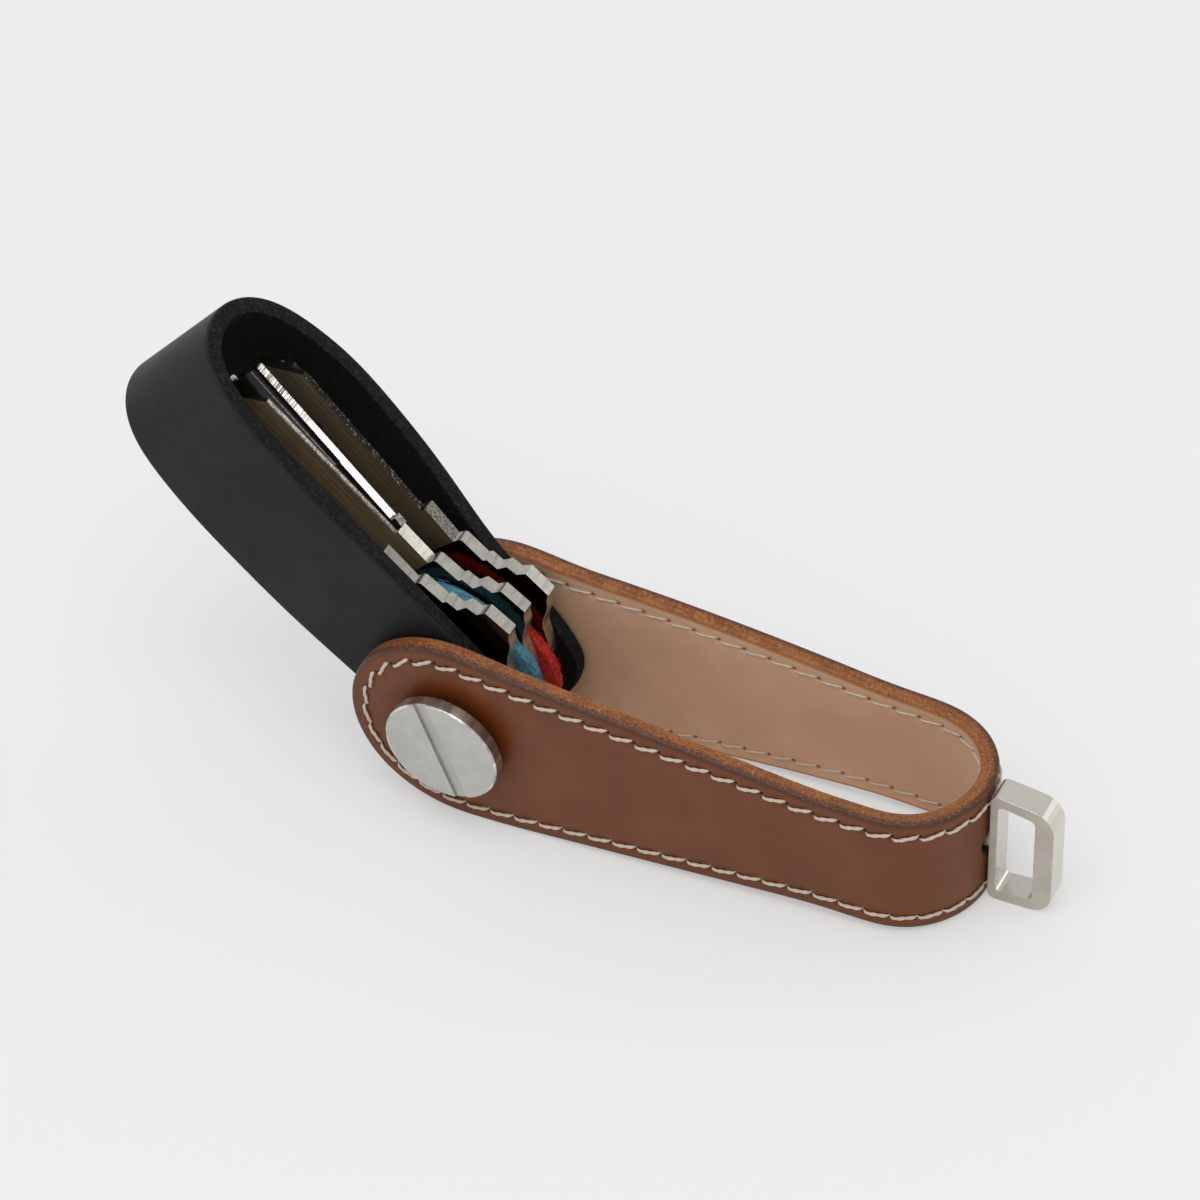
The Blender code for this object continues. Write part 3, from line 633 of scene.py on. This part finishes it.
def stitch_bar(name, long, thick, arch, sides=8, steps=14):
    """Make one stitch of two-ply thread along X, arched over the face, dipping at its ends."""
    work = bmesh.new()
    rows = []
    for i in range(steps + 1):
        share = 2.0 * i / steps - 1.0
        fat = thick / 2 * (1.0 - 0.45 * abs(share) ** 5)
        rise = arch * (1.0 - share ** 2) - 0.90 * thick * abs(share) ** 8
        drift = 0.10 * thick * math.sin(math.pi * share)
        ring = []
        for k in range(sides):
            turn = math.tau * k / sides
            ply = fat * (0.88 + 0.16 * math.cos(2.0 * (turn - 4.4 * share)))
            ring.append(work.verts.new((
                long / 2 * share, drift + ply * math.cos(turn),
                rise + ply * 0.80 * math.sin(turn))))
        rows.append(ring)
    skin(work, rows)
    work.faces.new(rows[0][::-1])
    work.faces.new(rows[-1])
    mesh = closed_up(work, bpy.data.meshes.new(name))
    mesh.shade_smooth()
    bar = linked(name, mesh)
    bar.hide_render = True
    return bar


def sewing_tree(name, bar, surface):
    """Build the tree: one bar on each point, turned by its normal and heading."""
    tree = bpy.data.node_groups.new(name, 'GeometryNodeTree')
    tree.interface.new_socket("Row", in_out='INPUT', socket_type='NodeSocketGeometry')
    size = tree.interface.new_socket("Stitch size", in_out='INPUT', socket_type='NodeSocketFloat')
    tree.interface.new_socket("Stitches", in_out='OUTPUT', socket_type='NodeSocketGeometry')
    start, end = tree.nodes.new("NodeGroupInput"), tree.nodes.new("NodeGroupOutput")
    shape = tree.nodes.new("GeometryNodeObjectInfo")
    shape.inputs["Object"].default_value = bar
    turn = tree.nodes.new("FunctionNodeAxesToRotation")
    turn.primary_axis, turn.secondary_axis = 'Z', 'X'
    for label, socket in (("facing", "Primary Axis"), ("heading", "Secondary Axis")):
        read = tree.nodes.new("GeometryNodeInputNamedAttribute")
        read.data_type = 'FLOAT_VECTOR'
        read.inputs["Name"].default_value = label
        tree.links.new(read.outputs["Attribute"], turn.inputs[socket])
    lay = tree.nodes.new("GeometryNodeInstanceOnPoints")
    tree.links.new(start.outputs["Row"], lay.inputs["Points"])
    tree.links.new(shape.outputs["Geometry"], lay.inputs["Instance"])
    tree.links.new(turn.outputs["Rotation"], lay.inputs["Rotation"])
    tree.links.new(start.outputs["Stitch size"], lay.inputs["Scale"])
    real = tree.nodes.new("GeometryNodeRealizeInstances")
    dye = tree.nodes.new("GeometryNodeSetMaterial")
    dye.inputs["Material"].default_value = surface
    tree.links.new(lay.outputs["Instances"], real.inputs["Geometry"])
    tree.links.new(real.outputs["Geometry"], dye.inputs["Geometry"])
    tree.links.new(dye.outputs["Geometry"], end.inputs["Stitches"])
    return tree, size.identifier


def sew(name, bar, depth, slant_deg, lean_deg, lift, flip):
    """Lay a row of stitches on one face of the cover and make it a plain mesh."""
    place_s, place_w, heading, _, _ = seam
    slant = slant_deg + lean_deg * np.clip(place_w / LEAN_WIDTH, -1.0, 1.0)
    slant *= 1.0 - 0.5 * np.exp(-((place_s - cover_band.stem) / STEM_SPREAD) ** 2)
    slant = heading + np.radians(slant) * flip
    step = 0.4 * MM
    level = np.full_like(place_s, depth - lift * flip)
    spots = cover_band.at(place_s, place_w, level)
    ahead = cover_band.at(
        place_s + step * np.cos(slant), place_w + step * np.sin(slant), level)
    out_way = cover_band.facing(place_s) * flip
    mesh = bpy.data.meshes.new(name)
    turn = stand.to_3x3()
    mesh.from_pydata([stand @ Vector(p) for p in spots], [], [])
    for label, vectors in (("facing", out_way), ("heading", ahead - spots)):
        layer = mesh.attributes.new(label, 'FLOAT_VECTOR', 'POINT')
        turned = [turn @ Vector(v).normalized() for v in vectors]
        layer.data.foreach_set("vector", [c for v in turned for c in v])
    row = linked(name, mesh)
    tree, size = sewing_tree(name, bar, thread)
    laid = row.modifiers.new("Sewing", 'NODES')
    laid.node_group = tree
    laid[size] = 1.0
    piece = place(name, applied(row), thread, 0)
    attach(piece, "cover")


outer_bar = stitch_bar("outer_stitch", long=3.90 * MM, thick=0.62 * MM, arch=0.09 * MM)
inner_bar = stitch_bar("inner_stitch", long=3.80 * MM, thick=0.42 * MM, arch=0.04 * MM)
sew("outer_stitches", outer_bar, depth=0.0, slant_deg=9.0, lean_deg=5.5, lift=0.10 * MM, flip=1)
sew("inner_stitches", inner_bar, depth=COVER["thick"], slant_deg=8.0, lean_deg=0.0, lift=0.0,
    flip=-1)
for bar in (outer_bar, inner_bar):
    bpy.data.objects.remove(bar)

# ---- The loop: a band of black leather folded round the keys, its skin outside and its flesh
# side inside. On the real one it bulges round the keys and is pressed flat in the closed
# cover, so it squashes along the pivot as it swings in.
LOOP = dict(
    reach=67.6 * MM, fold=10.5 * MM, end_radius=10.35 * MM, half=11.65 * MM,
    taper_end=25.0 * MM, apex=1.6 * MM, thick=2.6 * MM, corner=0.45 * MM)
loop_rise = math.radians(40.2)
loop_turn = stand @ Matrix.Rotation(loop_rise, 4, 'Y') @ Matrix.Diagonal((-1.0, 1.0, 1.0, 1.0))
near_marks = ((0.0, -10.35), (0.20, -10.30), (0.45, -10.45), (0.70, -9.9), (0.85, -8.3))
far_marks = ((0.0, 7.35), (0.22, 7.9), (0.45, 11.5), (0.70, 13.7), (0.85, 12.0))


def loop_leg(marks):
    """Give one leg's outer face through its marks, each a share of the reach and a place."""
    shares = np.array([mark[0] for mark in marks]) * LOOP["reach"]
    places = np.array([mark[1] for mark in marks]) * MM

    def face(along):
        return np.interp(along, shares, places)
    return face


loop_band = Band(
    loop_leg(near_marks), loop_leg(far_marks), LOOP["reach"], LOOP["fold"], LOOP["apex"],
    LOOP["end_radius"] + 1.0 * MM, ease=5.0 * MM)
loop_outline = half_outline(
    loop_band.span, LOOP["end_radius"], LOOP["half"], LOOP["taper_end"], 0.5 * MM)
loop_mesh = band_mesh(
    "loop_leather", loop_band, loop_outline, face_depths(LOOP["corner"], LOOP["thick"]),
    LOOP["thick"], lambda s, w, t: 0.0 * s)
loop_mesh.transform(loop_turn)
loop_mesh.flip_normals()

loop_leather = bpy.data.materials.new("loop_leather")
tree, out = nodes_of(loop_leather)
depth = attribute(tree, "depth")
rim = attribute(tree, "rim")
skin_colour, _ = mottle(
    tree, (0.0145, 0.0155, 0.0172), (0.0215, 0.0225, 0.0250), (0.3, 0.7), 110.0, 4.0)
cut, fibre = mottle(
    tree, (0.010, 0.010, 0.010), (0.046, 0.046, 0.045), (0.45, 0.75), 1800.0, 6.0, 0.8)
flesh = mix_colours(
    tree, ramp(tree, fibre, 0.45, 0.75), (0.003, 0.003, 0.003), (0.016, 0.016, 0.014))
on_edge = times(tree, ramp(tree, depth, 0.06, 0.12), ramp(tree, rim, 0.4 * MM, 0.2 * MM))
inside = ramp(tree, depth, 0.90, 0.97)
raw = math_node(tree, 'MAXIMUM', on_edge, inside)
colour = mix_colours(tree, inside, mix_colours(tree, on_edge, skin_colour, cut), flesh)
rough = mix_colours(tree, raw, (0.46, 0.46, 0.46), (0.95, 0.95, 0.95))
height = mix_colours(tree, raw, noise(tree, 900.0, 4.0, 0.6), fibre)
height = times(tree, height, plus(tree, times(tree, raw, 0.8), 0.20))
shader(tree, out, colour, rough, bump(tree, height, 0.6, 0.35 * MM), Specular_IOR_Level=0.11)
loop_piece = place("loop_leather", loop_mesh, loop_leather, 0)
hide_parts("inner_strap")
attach(loop_piece, "loop")
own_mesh(loop_piece)

# ---- The pivot screw: a slotted nickel head, its face rubbed satin and its rim polished and
# streaked with painted reflection, on a post whose head lies against the far leg.
HEAD_FACE = -17.8 * MM
HEAD_FLAT = 8.62 * MM
HEAD_WALL = 8.65 * MM
SLOT_TURN_DEG = 70.0
SLOT_DEPTH = 0.38 * MM
# Half the width and half the length of the slot's cutter, in millimetres.
SLOT_SIDE = 1.05
SLOT_REACH = 12.0


def scratches(tree, scale, thin=0.02):
    """Add fine straight scratches that run a few ways across a face square to the pivot."""
    lines = None
    for turn_deg in (24.0, -38.0, 71.0):
        turn = tree.nodes.new("ShaderNodeMapping")
        turn.vector_type = 'TEXTURE'
        turn.inputs["Rotation"].default_value = (0.0, math.radians(turn_deg), 0.0)
        turn.inputs["Scale"].default_value = (1.0, 1.0, thin)
        tree.links.new(spot_on(tree), turn.inputs["Vector"])
        cut = ramp(tree, grain_at(tree, turn.outputs[0], scale, 2.0), 0.62, 0.70)
        lines = cut if lines is None else math_node(tree, 'MAXIMUM', lines, cut)
    return lines


screw_nickel = bpy.data.materials.new("screw_nickel")
tree, out = nodes_of(screw_nickel)
depth_in = math_node(tree, 'SUBTRACT', part_of(tree, spot_on(tree), "Y"), pivot.y + HEAD_FACE)
# Painted shade in the screw's slot: its walls and floor a little darker with depth.
slot_shade = times(tree, ramp(tree, depth_in, 0.06 * MM, 0.30 * MM), 0.16)
polished = attribute(tree, "side")
lines = scratches(tree, 700.0)
face, cloud = mottle(
    tree, (0.510, 0.510, 0.470), (0.580, 0.578, 0.538), (0.3, 0.7), 240.0, 5.0, 0.6)
face = mix_colours(tree, lines, face, (0.440, 0.438, 0.405))
face = mix_colours(tree, slot_shade, face, (0.200, 0.195, 0.175))
# The polished rim: streaks along the axis from dark to bright, partly brushing and partly painted
# reflection.
side, _ = mottle(
    tree, (0.420, 0.390, 0.350), (0.900, 0.880, 0.840), (0.35, 0.62), 330.0, 3.0, 0.6,
    (1.0, 0.25, 1.0))
colour = mix_colours(tree, polished, face, side)
gloss = plus(tree, 0.36, times(tree, polished, -0.06))
gloss = plus(tree, gloss, times(tree, cloud, 0.06))
rings = noise(tree, 1500.0, 2.0, 0.5, (0.03, 1.0, 0.03))
marks = plus(tree, times(tree, lines, -0.5), times(tree, times(tree, rings, polished), 0.8))
shader(tree, out, colour, gloss, bump(tree, marks, 0.12, 0.10 * MM), Metallic=1.0)


def coat(node_name, surface):
    """Give a CAD node its material."""
    coats = frame["nodes"][node_name].data.materials
    coats.clear()
    coats.append(surface)


coat("screw_post", screw_nickel)


def round_point(work, lay, radius, turn, y):
    """Add a point at a radius and turn about the pivot."""
    return work.verts.new(
        lay @ Vector((radius * math.cos(turn), y, radius * math.sin(turn))))


def lathed(name, profile, sides=128):
    """Turn a profile of radii and places about the pivot."""
    work = bmesh.new()
    rings = []
    for radius, y in profile:
        if radius:
            rings.append([round_point(work, stand, radius, math.tau * k / sides, y)
                          for k in range(sides)])
        else:
            rings.append([round_point(work, stand, 0.0, 0.0, y)] * sides)
    skin(work, rings)
    return closed_up(work, bpy.data.meshes.new(name))


def prism(points, low_y, high_y, lay):
    """Make a cutter from an outline of points across the pivot's direction, in millimetres."""
    work = bmesh.new()
    ends = [[work.verts.new(lay @ Vector((u * MM, y, w * MM))) for u, w in points]
            for y in (low_y, high_y)]
    skin(work, ends)
    for end in ends:
        work.faces.new(end)
    return linked("cutter", closed_up(work, bpy.data.meshes.new("cutter")))


def carved(mesh, cutters):
    """Cut a mesh by a few prisms and give the rest, the cutters taken away."""
    blank = linked("blank", mesh)
    for cutter in cutters:
        cut = blank.modifiers.new("Cut", 'BOOLEAN')
        cut.operation = 'DIFFERENCE'
        cut.solver = 'EXACT'
        cut.object = cutter
    done = applied(blank)
    for cutter in cutters:
        bpy.data.objects.remove(cutter)
    return done


shank_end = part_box("screw_head")[1][1] - pivot.y
head_mesh = lathed("screw_head", [
    (0.0, HEAD_FACE), (HEAD_FLAT, HEAD_FACE), (8.80 * MM, -17.74 * MM), (8.90 * MM, -17.58 * MM),
    (8.90 * MM, -15.9 * MM), (8.60 * MM, -15.6 * MM), (4.2 * MM, -15.6 * MM),
    (4.2 * MM, -14.4 * MM), (1.5 * MM, -14.4 * MM), (1.5 * MM, shank_end), (0.0, shank_end)])
slot_turn = stand @ Matrix.Rotation(math.radians(SLOT_TURN_DEG), 4, 'Y')
slot_cut = prism(
    ((-SLOT_REACH, -SLOT_SIDE), (SLOT_REACH, -SLOT_SIDE), (SLOT_REACH, SLOT_SIDE),
     (-SLOT_REACH, SLOT_SIDE)), HEAD_FACE - 0.7 * MM, HEAD_FACE + SLOT_DEPTH, slot_turn)
head_mesh = carved(head_mesh, [slot_cut])
side = head_mesh.attributes.new("side", 'FLOAT', 'FACE')
out_from = [stand.inverted() @ face.center for face in head_mesh.polygons]
side.data.foreach_set("value", [float(math.hypot(v.x, v.z) > HEAD_WALL) for v in out_from])
head_piece = place("slotted_head", head_mesh, screw_nickel, 20)
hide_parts("screw_head")
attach(head_piece, "cover")

# ---- The ring: one flat nickel casting with a rounded outer end, its flat faces brushed satin
# and its walls polished and lightened by a painted reflection, held in the fold by a stem, a
# washer and a small screw.
ring_nickel = bpy.data.materials.new("ring_nickel")
tree, out = nodes_of(ring_nickel)
colour, wear = mottle(
    tree, (0.490, 0.450, 0.375), (0.570, 0.528, 0.448), (0.3, 0.75), 170.0, 4.0, 0.6)
colour, brush = mottle(
    tree, colour, (0.480, 0.445, 0.375), (0.55, 0.80), 1300.0, 3.0, 0.6, (1.0, 0.05, 1.0))
# Painted reflection: the polished walls are lighter than the satin faces.
facing = part_of(tree, tree.nodes.new("ShaderNodeTexCoord").outputs["Normal"], "Y")
walls = ramp(tree, math_node(tree, 'ABSOLUTE', facing), 0.75, 0.45)
colour = mix_colours(tree, walls, colour, (0.690, 0.662, 0.600))
gloss = plus(tree, 0.36, times(tree, wear, 0.10))
gloss = math_node(tree, 'SUBTRACT', gloss, times(tree, walls, 0.14))
shader(tree, out, colour, gloss, bump(tree, brush, 0.04, 0.10 * MM), Metallic=0.85)
for name in ("ring", "ring_screw", "ring_washer"):
    coat(name, ring_nickel)

# ---- The keys: flat blanks of nickel silver with stepped heads, their flanks milled, with painted
# shade on the backs and tips of their blades and on some flanks. Each blade's back stands on its
# near half alone, and the middle key, put in the other way up, shows the bright back of its taller
# far half.
NEAR_HALF = 0.95 * MM
CLEAR_NEAR = -1.0 * MM
CLEAR_FAR = 3.0 * MM
GROOVE = (2.6 * MM, 6.8 * MM)
GROOVE_DEPTH = 0.55 * MM
BLADE_FROM = 20.3 * MM
BACK_FROM = 26.52 * MM
WHITE_FROM = 28.3 * MM
TIP_FROM = 52.95 * MM
FLANK_STEP = 0.5 * MM
TIP_STEP = 0.8 * MM
WHITE_STEP = 0.92 * MM
# The cutters' outlines, in millimetres along and across the blade from the pivot.
HEAD_STEPS = ((26.5, 20.0), (26.5, 8.6), (20.2, 8.45), (20.1, 9.7), (19.7, 10.1), (15.65, 10.6),
              (15.5, 11.35), (13.55, 11.75), (13.3, 13.65), (11.6, 14.15), (11.15, 15.8),
              (6.4, 16.4), (5.0, 18.0), (5.0, 20.0))
NEAR_BACK = ((26.45, 14.0), (26.45, 7.75), (52.9, 8.05), (55.9, 4.1), (58.4, 1.0), (61.0, 1.0),
             (61.0, 14.0))
WHITE_BACK = ((28.2, 14.0), (28.2, 8.50), (57.6, 10.90), (57.7, 5.0), (61.0, 5.0), (61.0, 14.0))
FAR_BACK = ((26.45, 14.0), (26.45, 6.2), (61.0, 6.2), (61.0, 14.0))
STEP_LINE = ((39.5, 14.0), (39.5, 8.15), (57.4, 9.35), (61.0, 9.6), (61.0, 14.0))


def painted_shade_of(name, spot, depth, on_flank):
    """Tell how much painted shade a face takes: 0 on the white back, 0.12 on plain metal, up to 1.
    """
    flipped = name == "key_middle"
    # Painted shade: the rear key's flank half dark, the near halves' backs grey or dark, and the
    # tips and the middle key's near flank darkest.
    if name == "key_rear" and on_flank:
        return 0.90
    if spot.x > BACK_FROM and spot.z > 0.0:
        if flipped and on_flank and depth > FLANK_STEP:
            return 1.0
        if flipped and spot.x > WHITE_FROM and depth > WHITE_STEP:
            return 0.0
        if spot.x > TIP_FROM and (not flipped or depth < TIP_STEP):
            return 1.0
        return 0.50 if flipped else 0.75
    return 0.50 if name == "key_rear" and spot.x > BLADE_FROM else 0.12


def dressed_key(name, turn_deg, near_y, cuts):
    """Copy a key's solid, cut its blade's halves, and paint its own places and its painted shade
    on it.
    """
    lay = loop_turn @ Matrix.Rotation(-math.radians(turn_deg), 4, 'Y')
    back = lay.inverted()
    mesh = frame["nodes"][name].data.copy()
    work = bmesh.new()
    work.from_mesh(mesh)
    bmesh.ops.remove_doubles(work, verts=work.verts, dist=0.001 * MM)
    work.to_mesh(mesh)
    work.free()
    done = carved(mesh, [prism(points, near_y + low, near_y + high, lay)
                         for points, low, high in cuts])
    work = bmesh.new()
    work.from_mesh(done)
    for vert in work.verts:
        spot = back @ vert.co
        sunk = abs(spot.y - near_y - GROOVE_DEPTH) < 0.03 * MM
        if sunk and GROOVE[0] < spot.z < GROOVE[1]:
            vert.co = lay @ Vector((spot.x, near_y, spot.z))
    bmesh.ops.remove_doubles(work, verts=work.verts, dist=0.001 * MM)
    bmesh.ops.dissolve_degenerate(work, edges=work.edges, dist=0.001 * MM)
    bmesh.ops.dissolve_limit(
        work, angle_limit=math.radians(0.5), verts=work.verts, edges=work.edges)
    work.to_mesh(done)
    work.free()
    spots = [back @ vert.co for vert in done.vertices]
    layer = done.attributes.new("blank", 'FLOAT_VECTOR', 'POINT')
    layer.data.foreach_set("vector", [c for v in spots for c in (v.x, v.y - near_y, v.z)])
    flanks, painted_shades = [], []
    for face in done.polygons:
        spot = back @ face.center
        on_flank = abs(face.normal.y) > 0.9
        flanks.append(float(on_flank))
        painted_shades.append(painted_shade_of(name, spot, spot.y - near_y, on_flank))
    for label, values in (("flank", flanks), ("painted_shade", painted_shades)):
        layer = done.attributes.new(label, 'FLOAT', 'FACE')
        layer.data.foreach_set("value", values)
    piece = place(name + "_blank", done, key_metal, 20)
    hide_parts(name)
    return piece


key_metal = bpy.data.materials.new("key_metal")
tree, out = nodes_of(key_metal)
flank = attribute(tree, "flank")
painted_shade = attribute(tree, "painted_shade")
along_blade = part_of(tree, attribute(tree, "blank", "Vector"), "X")
bright, _ = mottle(
    tree, (0.500, 0.486, 0.430), (0.610, 0.596, 0.532), (0.35, 0.7), 260.0, 4.0, 0.6,
    on="blank")
worn, struck = mottle(
    tree, bright, (0.420, 0.402, 0.350), (0.50, 0.66), 1700.0, 3.0, 0.7, (1.0, 0.15, 0.5),
    "blank")
stripes = times(
    tree, ramp(tree, noise(tree, 4300.0, 2.0, 0.6, (1.0, 0.04, 0.15), "blank"), 0.44, 0.54),
    ramp(tree, along_blade, 42.0 * MM, 52.0 * MM))
specks = ramp(tree, noise(tree, 1500.0, 2.0, 0.6, on="blank"), 0.66, 0.69)
white = mix_colours(
    tree, math_node(tree, 'MAXIMUM', stripes, specks), (0.640, 0.622, 0.580),
    (0.110, 0.103, 0.088))
# Grey with bright nicks: painted shade on the backs of the near halves.
grey, nicks = mottle(
    tree, (0.150, 0.142, 0.122), (0.440, 0.424, 0.375), (0.42, 0.62), 2600.0, 3.0, 0.8,
    on="blank")
# Near black with bright nicks: deeper painted shade on the blades' backs.
dark = mix_colours(
    tree, ramp(tree, nicks, 0.57, 0.66), (0.026, 0.024, 0.019), (0.420, 0.400, 0.340))
edges_and_painted_shade = white
# Painted shade on the edges, step by step from the white back and plain metal to near black on the
# tips.
for shade_from, shade_to, darker in (
        (0.0, 0.12, worn), (0.12, 0.50, grey), (0.50, 0.75, dark),
        (0.75, 1.00, (0.010, 0.009, 0.007))):
    edges_and_painted_shade = mix_colours(tree, ramp(tree, painted_shade, shade_from, shade_to), edges_and_painted_shade, darker)
on_blade = ramp(tree, along_blade, 20.0 * MM, BLADE_FROM)
dull, milled = mottle(
    tree, (0.170, 0.125, 0.066), (0.270, 0.205, 0.115), (0.40, 0.62), 2900.0, 2.0, 0.6,
    (0.015, 1.0, 1.0), "blank")
# Painted shade on the rear key's flank and the middle key's near flank.
dull = mix_colours(tree, ramp(tree, painted_shade, 0.80, 1.00), dull, (0.008, 0.007, 0.006))
dull = mix_colours(tree, on_blade, (0.130, 0.115, 0.090), dull)
colour = mix_colours(tree, flank, edges_and_painted_shade, dull)
gloss = mix_colours(
    tree, flank, plus(tree, 0.26, times(tree, painted_shade, 0.30)),
    plus(tree, 0.10, times(tree, on_blade, 0.14)))
height = mix_colours(
    tree, flank, plus(tree, struck, times(tree, nicks, 0.5)),
    times(tree, milled, times(tree, on_blade, 0.35)))
key_shader = shader(tree, out, colour, gloss, bump(tree, height, 0.22, 0.10 * MM))
bare = math_node(tree, 'SUBTRACT', 1.0, times(tree, times(tree, flank, on_blade), 0.75))
tree.links.new(bare, key_shader.inputs["Metallic"])
for name, turn_deg, near_y, body in (
        ("key_front", 1.8, -6.85 * MM, "front_key"), ("key_middle", 1.8, -2.10 * MM, "middle_key"),
        ("key_rear", 6.3, 2.65 * MM, "rear_key")):
    if name == "key_middle":
        cuts = ((NEAR_BACK, CLEAR_NEAR, 0.75 * MM), (STEP_LINE, CLEAR_NEAR, 0.90 * MM),
                (WHITE_BACK, 0.60 * MM, CLEAR_FAR), (HEAD_STEPS, CLEAR_NEAR, CLEAR_FAR))
    else:
        cuts = ((NEAR_BACK, CLEAR_NEAR, CLEAR_FAR), (FAR_BACK, NEAR_HALF, CLEAR_FAR),
                (HEAD_STEPS, CLEAR_NEAR, CLEAR_FAR))
    key_piece = dressed_key(name, turn_deg, near_y, cuts)
    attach(key_piece, body)

# ---- The discs between the keys: a blue and a red washer of thick leather, each cut longer
# toward the blades, with loose fibres all round its rim.
# Their reaches are the rim's radius in millimetres at an angle from the blades.
DISC_BORE = 2.8 * MM
ROUNDED = (0.9 * MM, 0.25 * MM)


def fibrous_disc(name, node, colour, seed, reaches, hairs=420):
    """Make a leather washer, longer toward the blades, with an uneven rim and short hairs."""
    low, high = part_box(node)
    near, far = low[1] - pivot.y, high[1] - pivot.y
    angles = np.radians([mark[0] for mark in reaches])

    def radius_at(turn):
        turn = abs((turn + math.pi) % math.tau - math.pi)
        return np.interp(turn, angles, [mark[1] * MM for mark in reaches])

    chance = np.random.default_rng(seed)
    count = 150
    around = np.linspace(0.0, math.tau, count, endpoint=False)
    wave = sum(chance.normal(0.0, 0.05) * np.cos(k * around + chance.uniform(0, math.tau))
               for k in (3, 5, 8, 13, 21, 34)) * MM
    middle, half = (near + far) / 2, (far - near) / 2
    work = bmesh.new()
    rows = []
    for uneven, turn in zip(wave, around):
        row = []
        radius = radius_at(turn)
        face = ((DISC_BORE, 0.97), (radius - ROUNDED[0], 0.97), (radius - ROUNDED[1], 0.84),
                (radius, 0.45))
        section = [(r, -y) for r, y in face] + [(radius + 0.05 * MM, 0.0)] + list(face[::-1])
        for r, y in section:
            near_rim = min(max((r - radius + 1.5 * MM) / (1.5 * MM), 0.0), 1.0)
            rough = (uneven + chance.normal(0.0, 0.07) * MM) * near_rim
            row.append(round_point(work, loop_turn, r + rough, turn, middle + half * y))
        rows.append(row)
    skin(work, rows + rows[:1])
    for _ in range(hairs):
        turn = chance.uniform(0, math.tau)
        y = middle + half * chance.uniform(-0.85, 0.85)
        sweep = chance.normal(0.0, 0.09)
        rise = chance.uniform(0.05, 0.65) * MM
        tilt = chance.normal(0.0, 0.35) * half
        thin = chance.uniform(0.05, 0.09) * MM
        rings = []
        for share in (0.0, 0.5, 1.0):
            spin = turn + sweep * share
            r = radius_at(spin) - 0.15 * MM + rise * share ** 0.7
            here_y = min(max(y + tilt * share, near + 0.05 * MM), far - 0.05 * MM)
            wide = thin * (1.0 - 0.8 * share)
            rings.append([round_point(
                work, loop_turn, r + wide * math.cos(c), spin, here_y + wide * math.sin(c))
                for c in (0.0, 2.1, 4.2)])
        skin(work, rings)
        work.faces.new(rings[0])
        work.faces.new(rings[-1][::-1])
    mesh = closed_up(work, bpy.data.meshes.new(name))
    dyed = bpy.data.materials.new(name)
    tree, out = nodes_of(dyed)
    shade, fluff = mottle(
        tree, tuple(c * 0.42 for c in colour), colour, (0.32, 0.66), 1700.0, 6.0, 0.8)
    shader(tree, out, shade, 0.9, bump(tree, fluff, 0.8, 0.4 * MM), Specular_IOR_Level=0.2)
    piece = place(name, mesh, dyed, 40)
    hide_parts(node)
    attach(piece, "loop")
    return piece


blue_reaches = ((0, 19.4), (25, 19.6), (33, 18.6), (41, 17.6), (60, 14.6), (76, 12.1), (97, 11.2),
                (107, 10.3), (140, 9.6), (180, 9.6))
red_reaches = ((0, 18.6), (22, 18.3), (41, 14.6), (60, 11.8), (80, 10.2), (125, 9.4), (180, 9.4))
fibrous_disc("blue_disc", "spacer_blue", (0.125, 0.365, 0.500), 4, blue_reaches)
fibrous_disc("red_disc", "spacer_red", (0.760, 0.050, 0.040), 9, red_reaches)
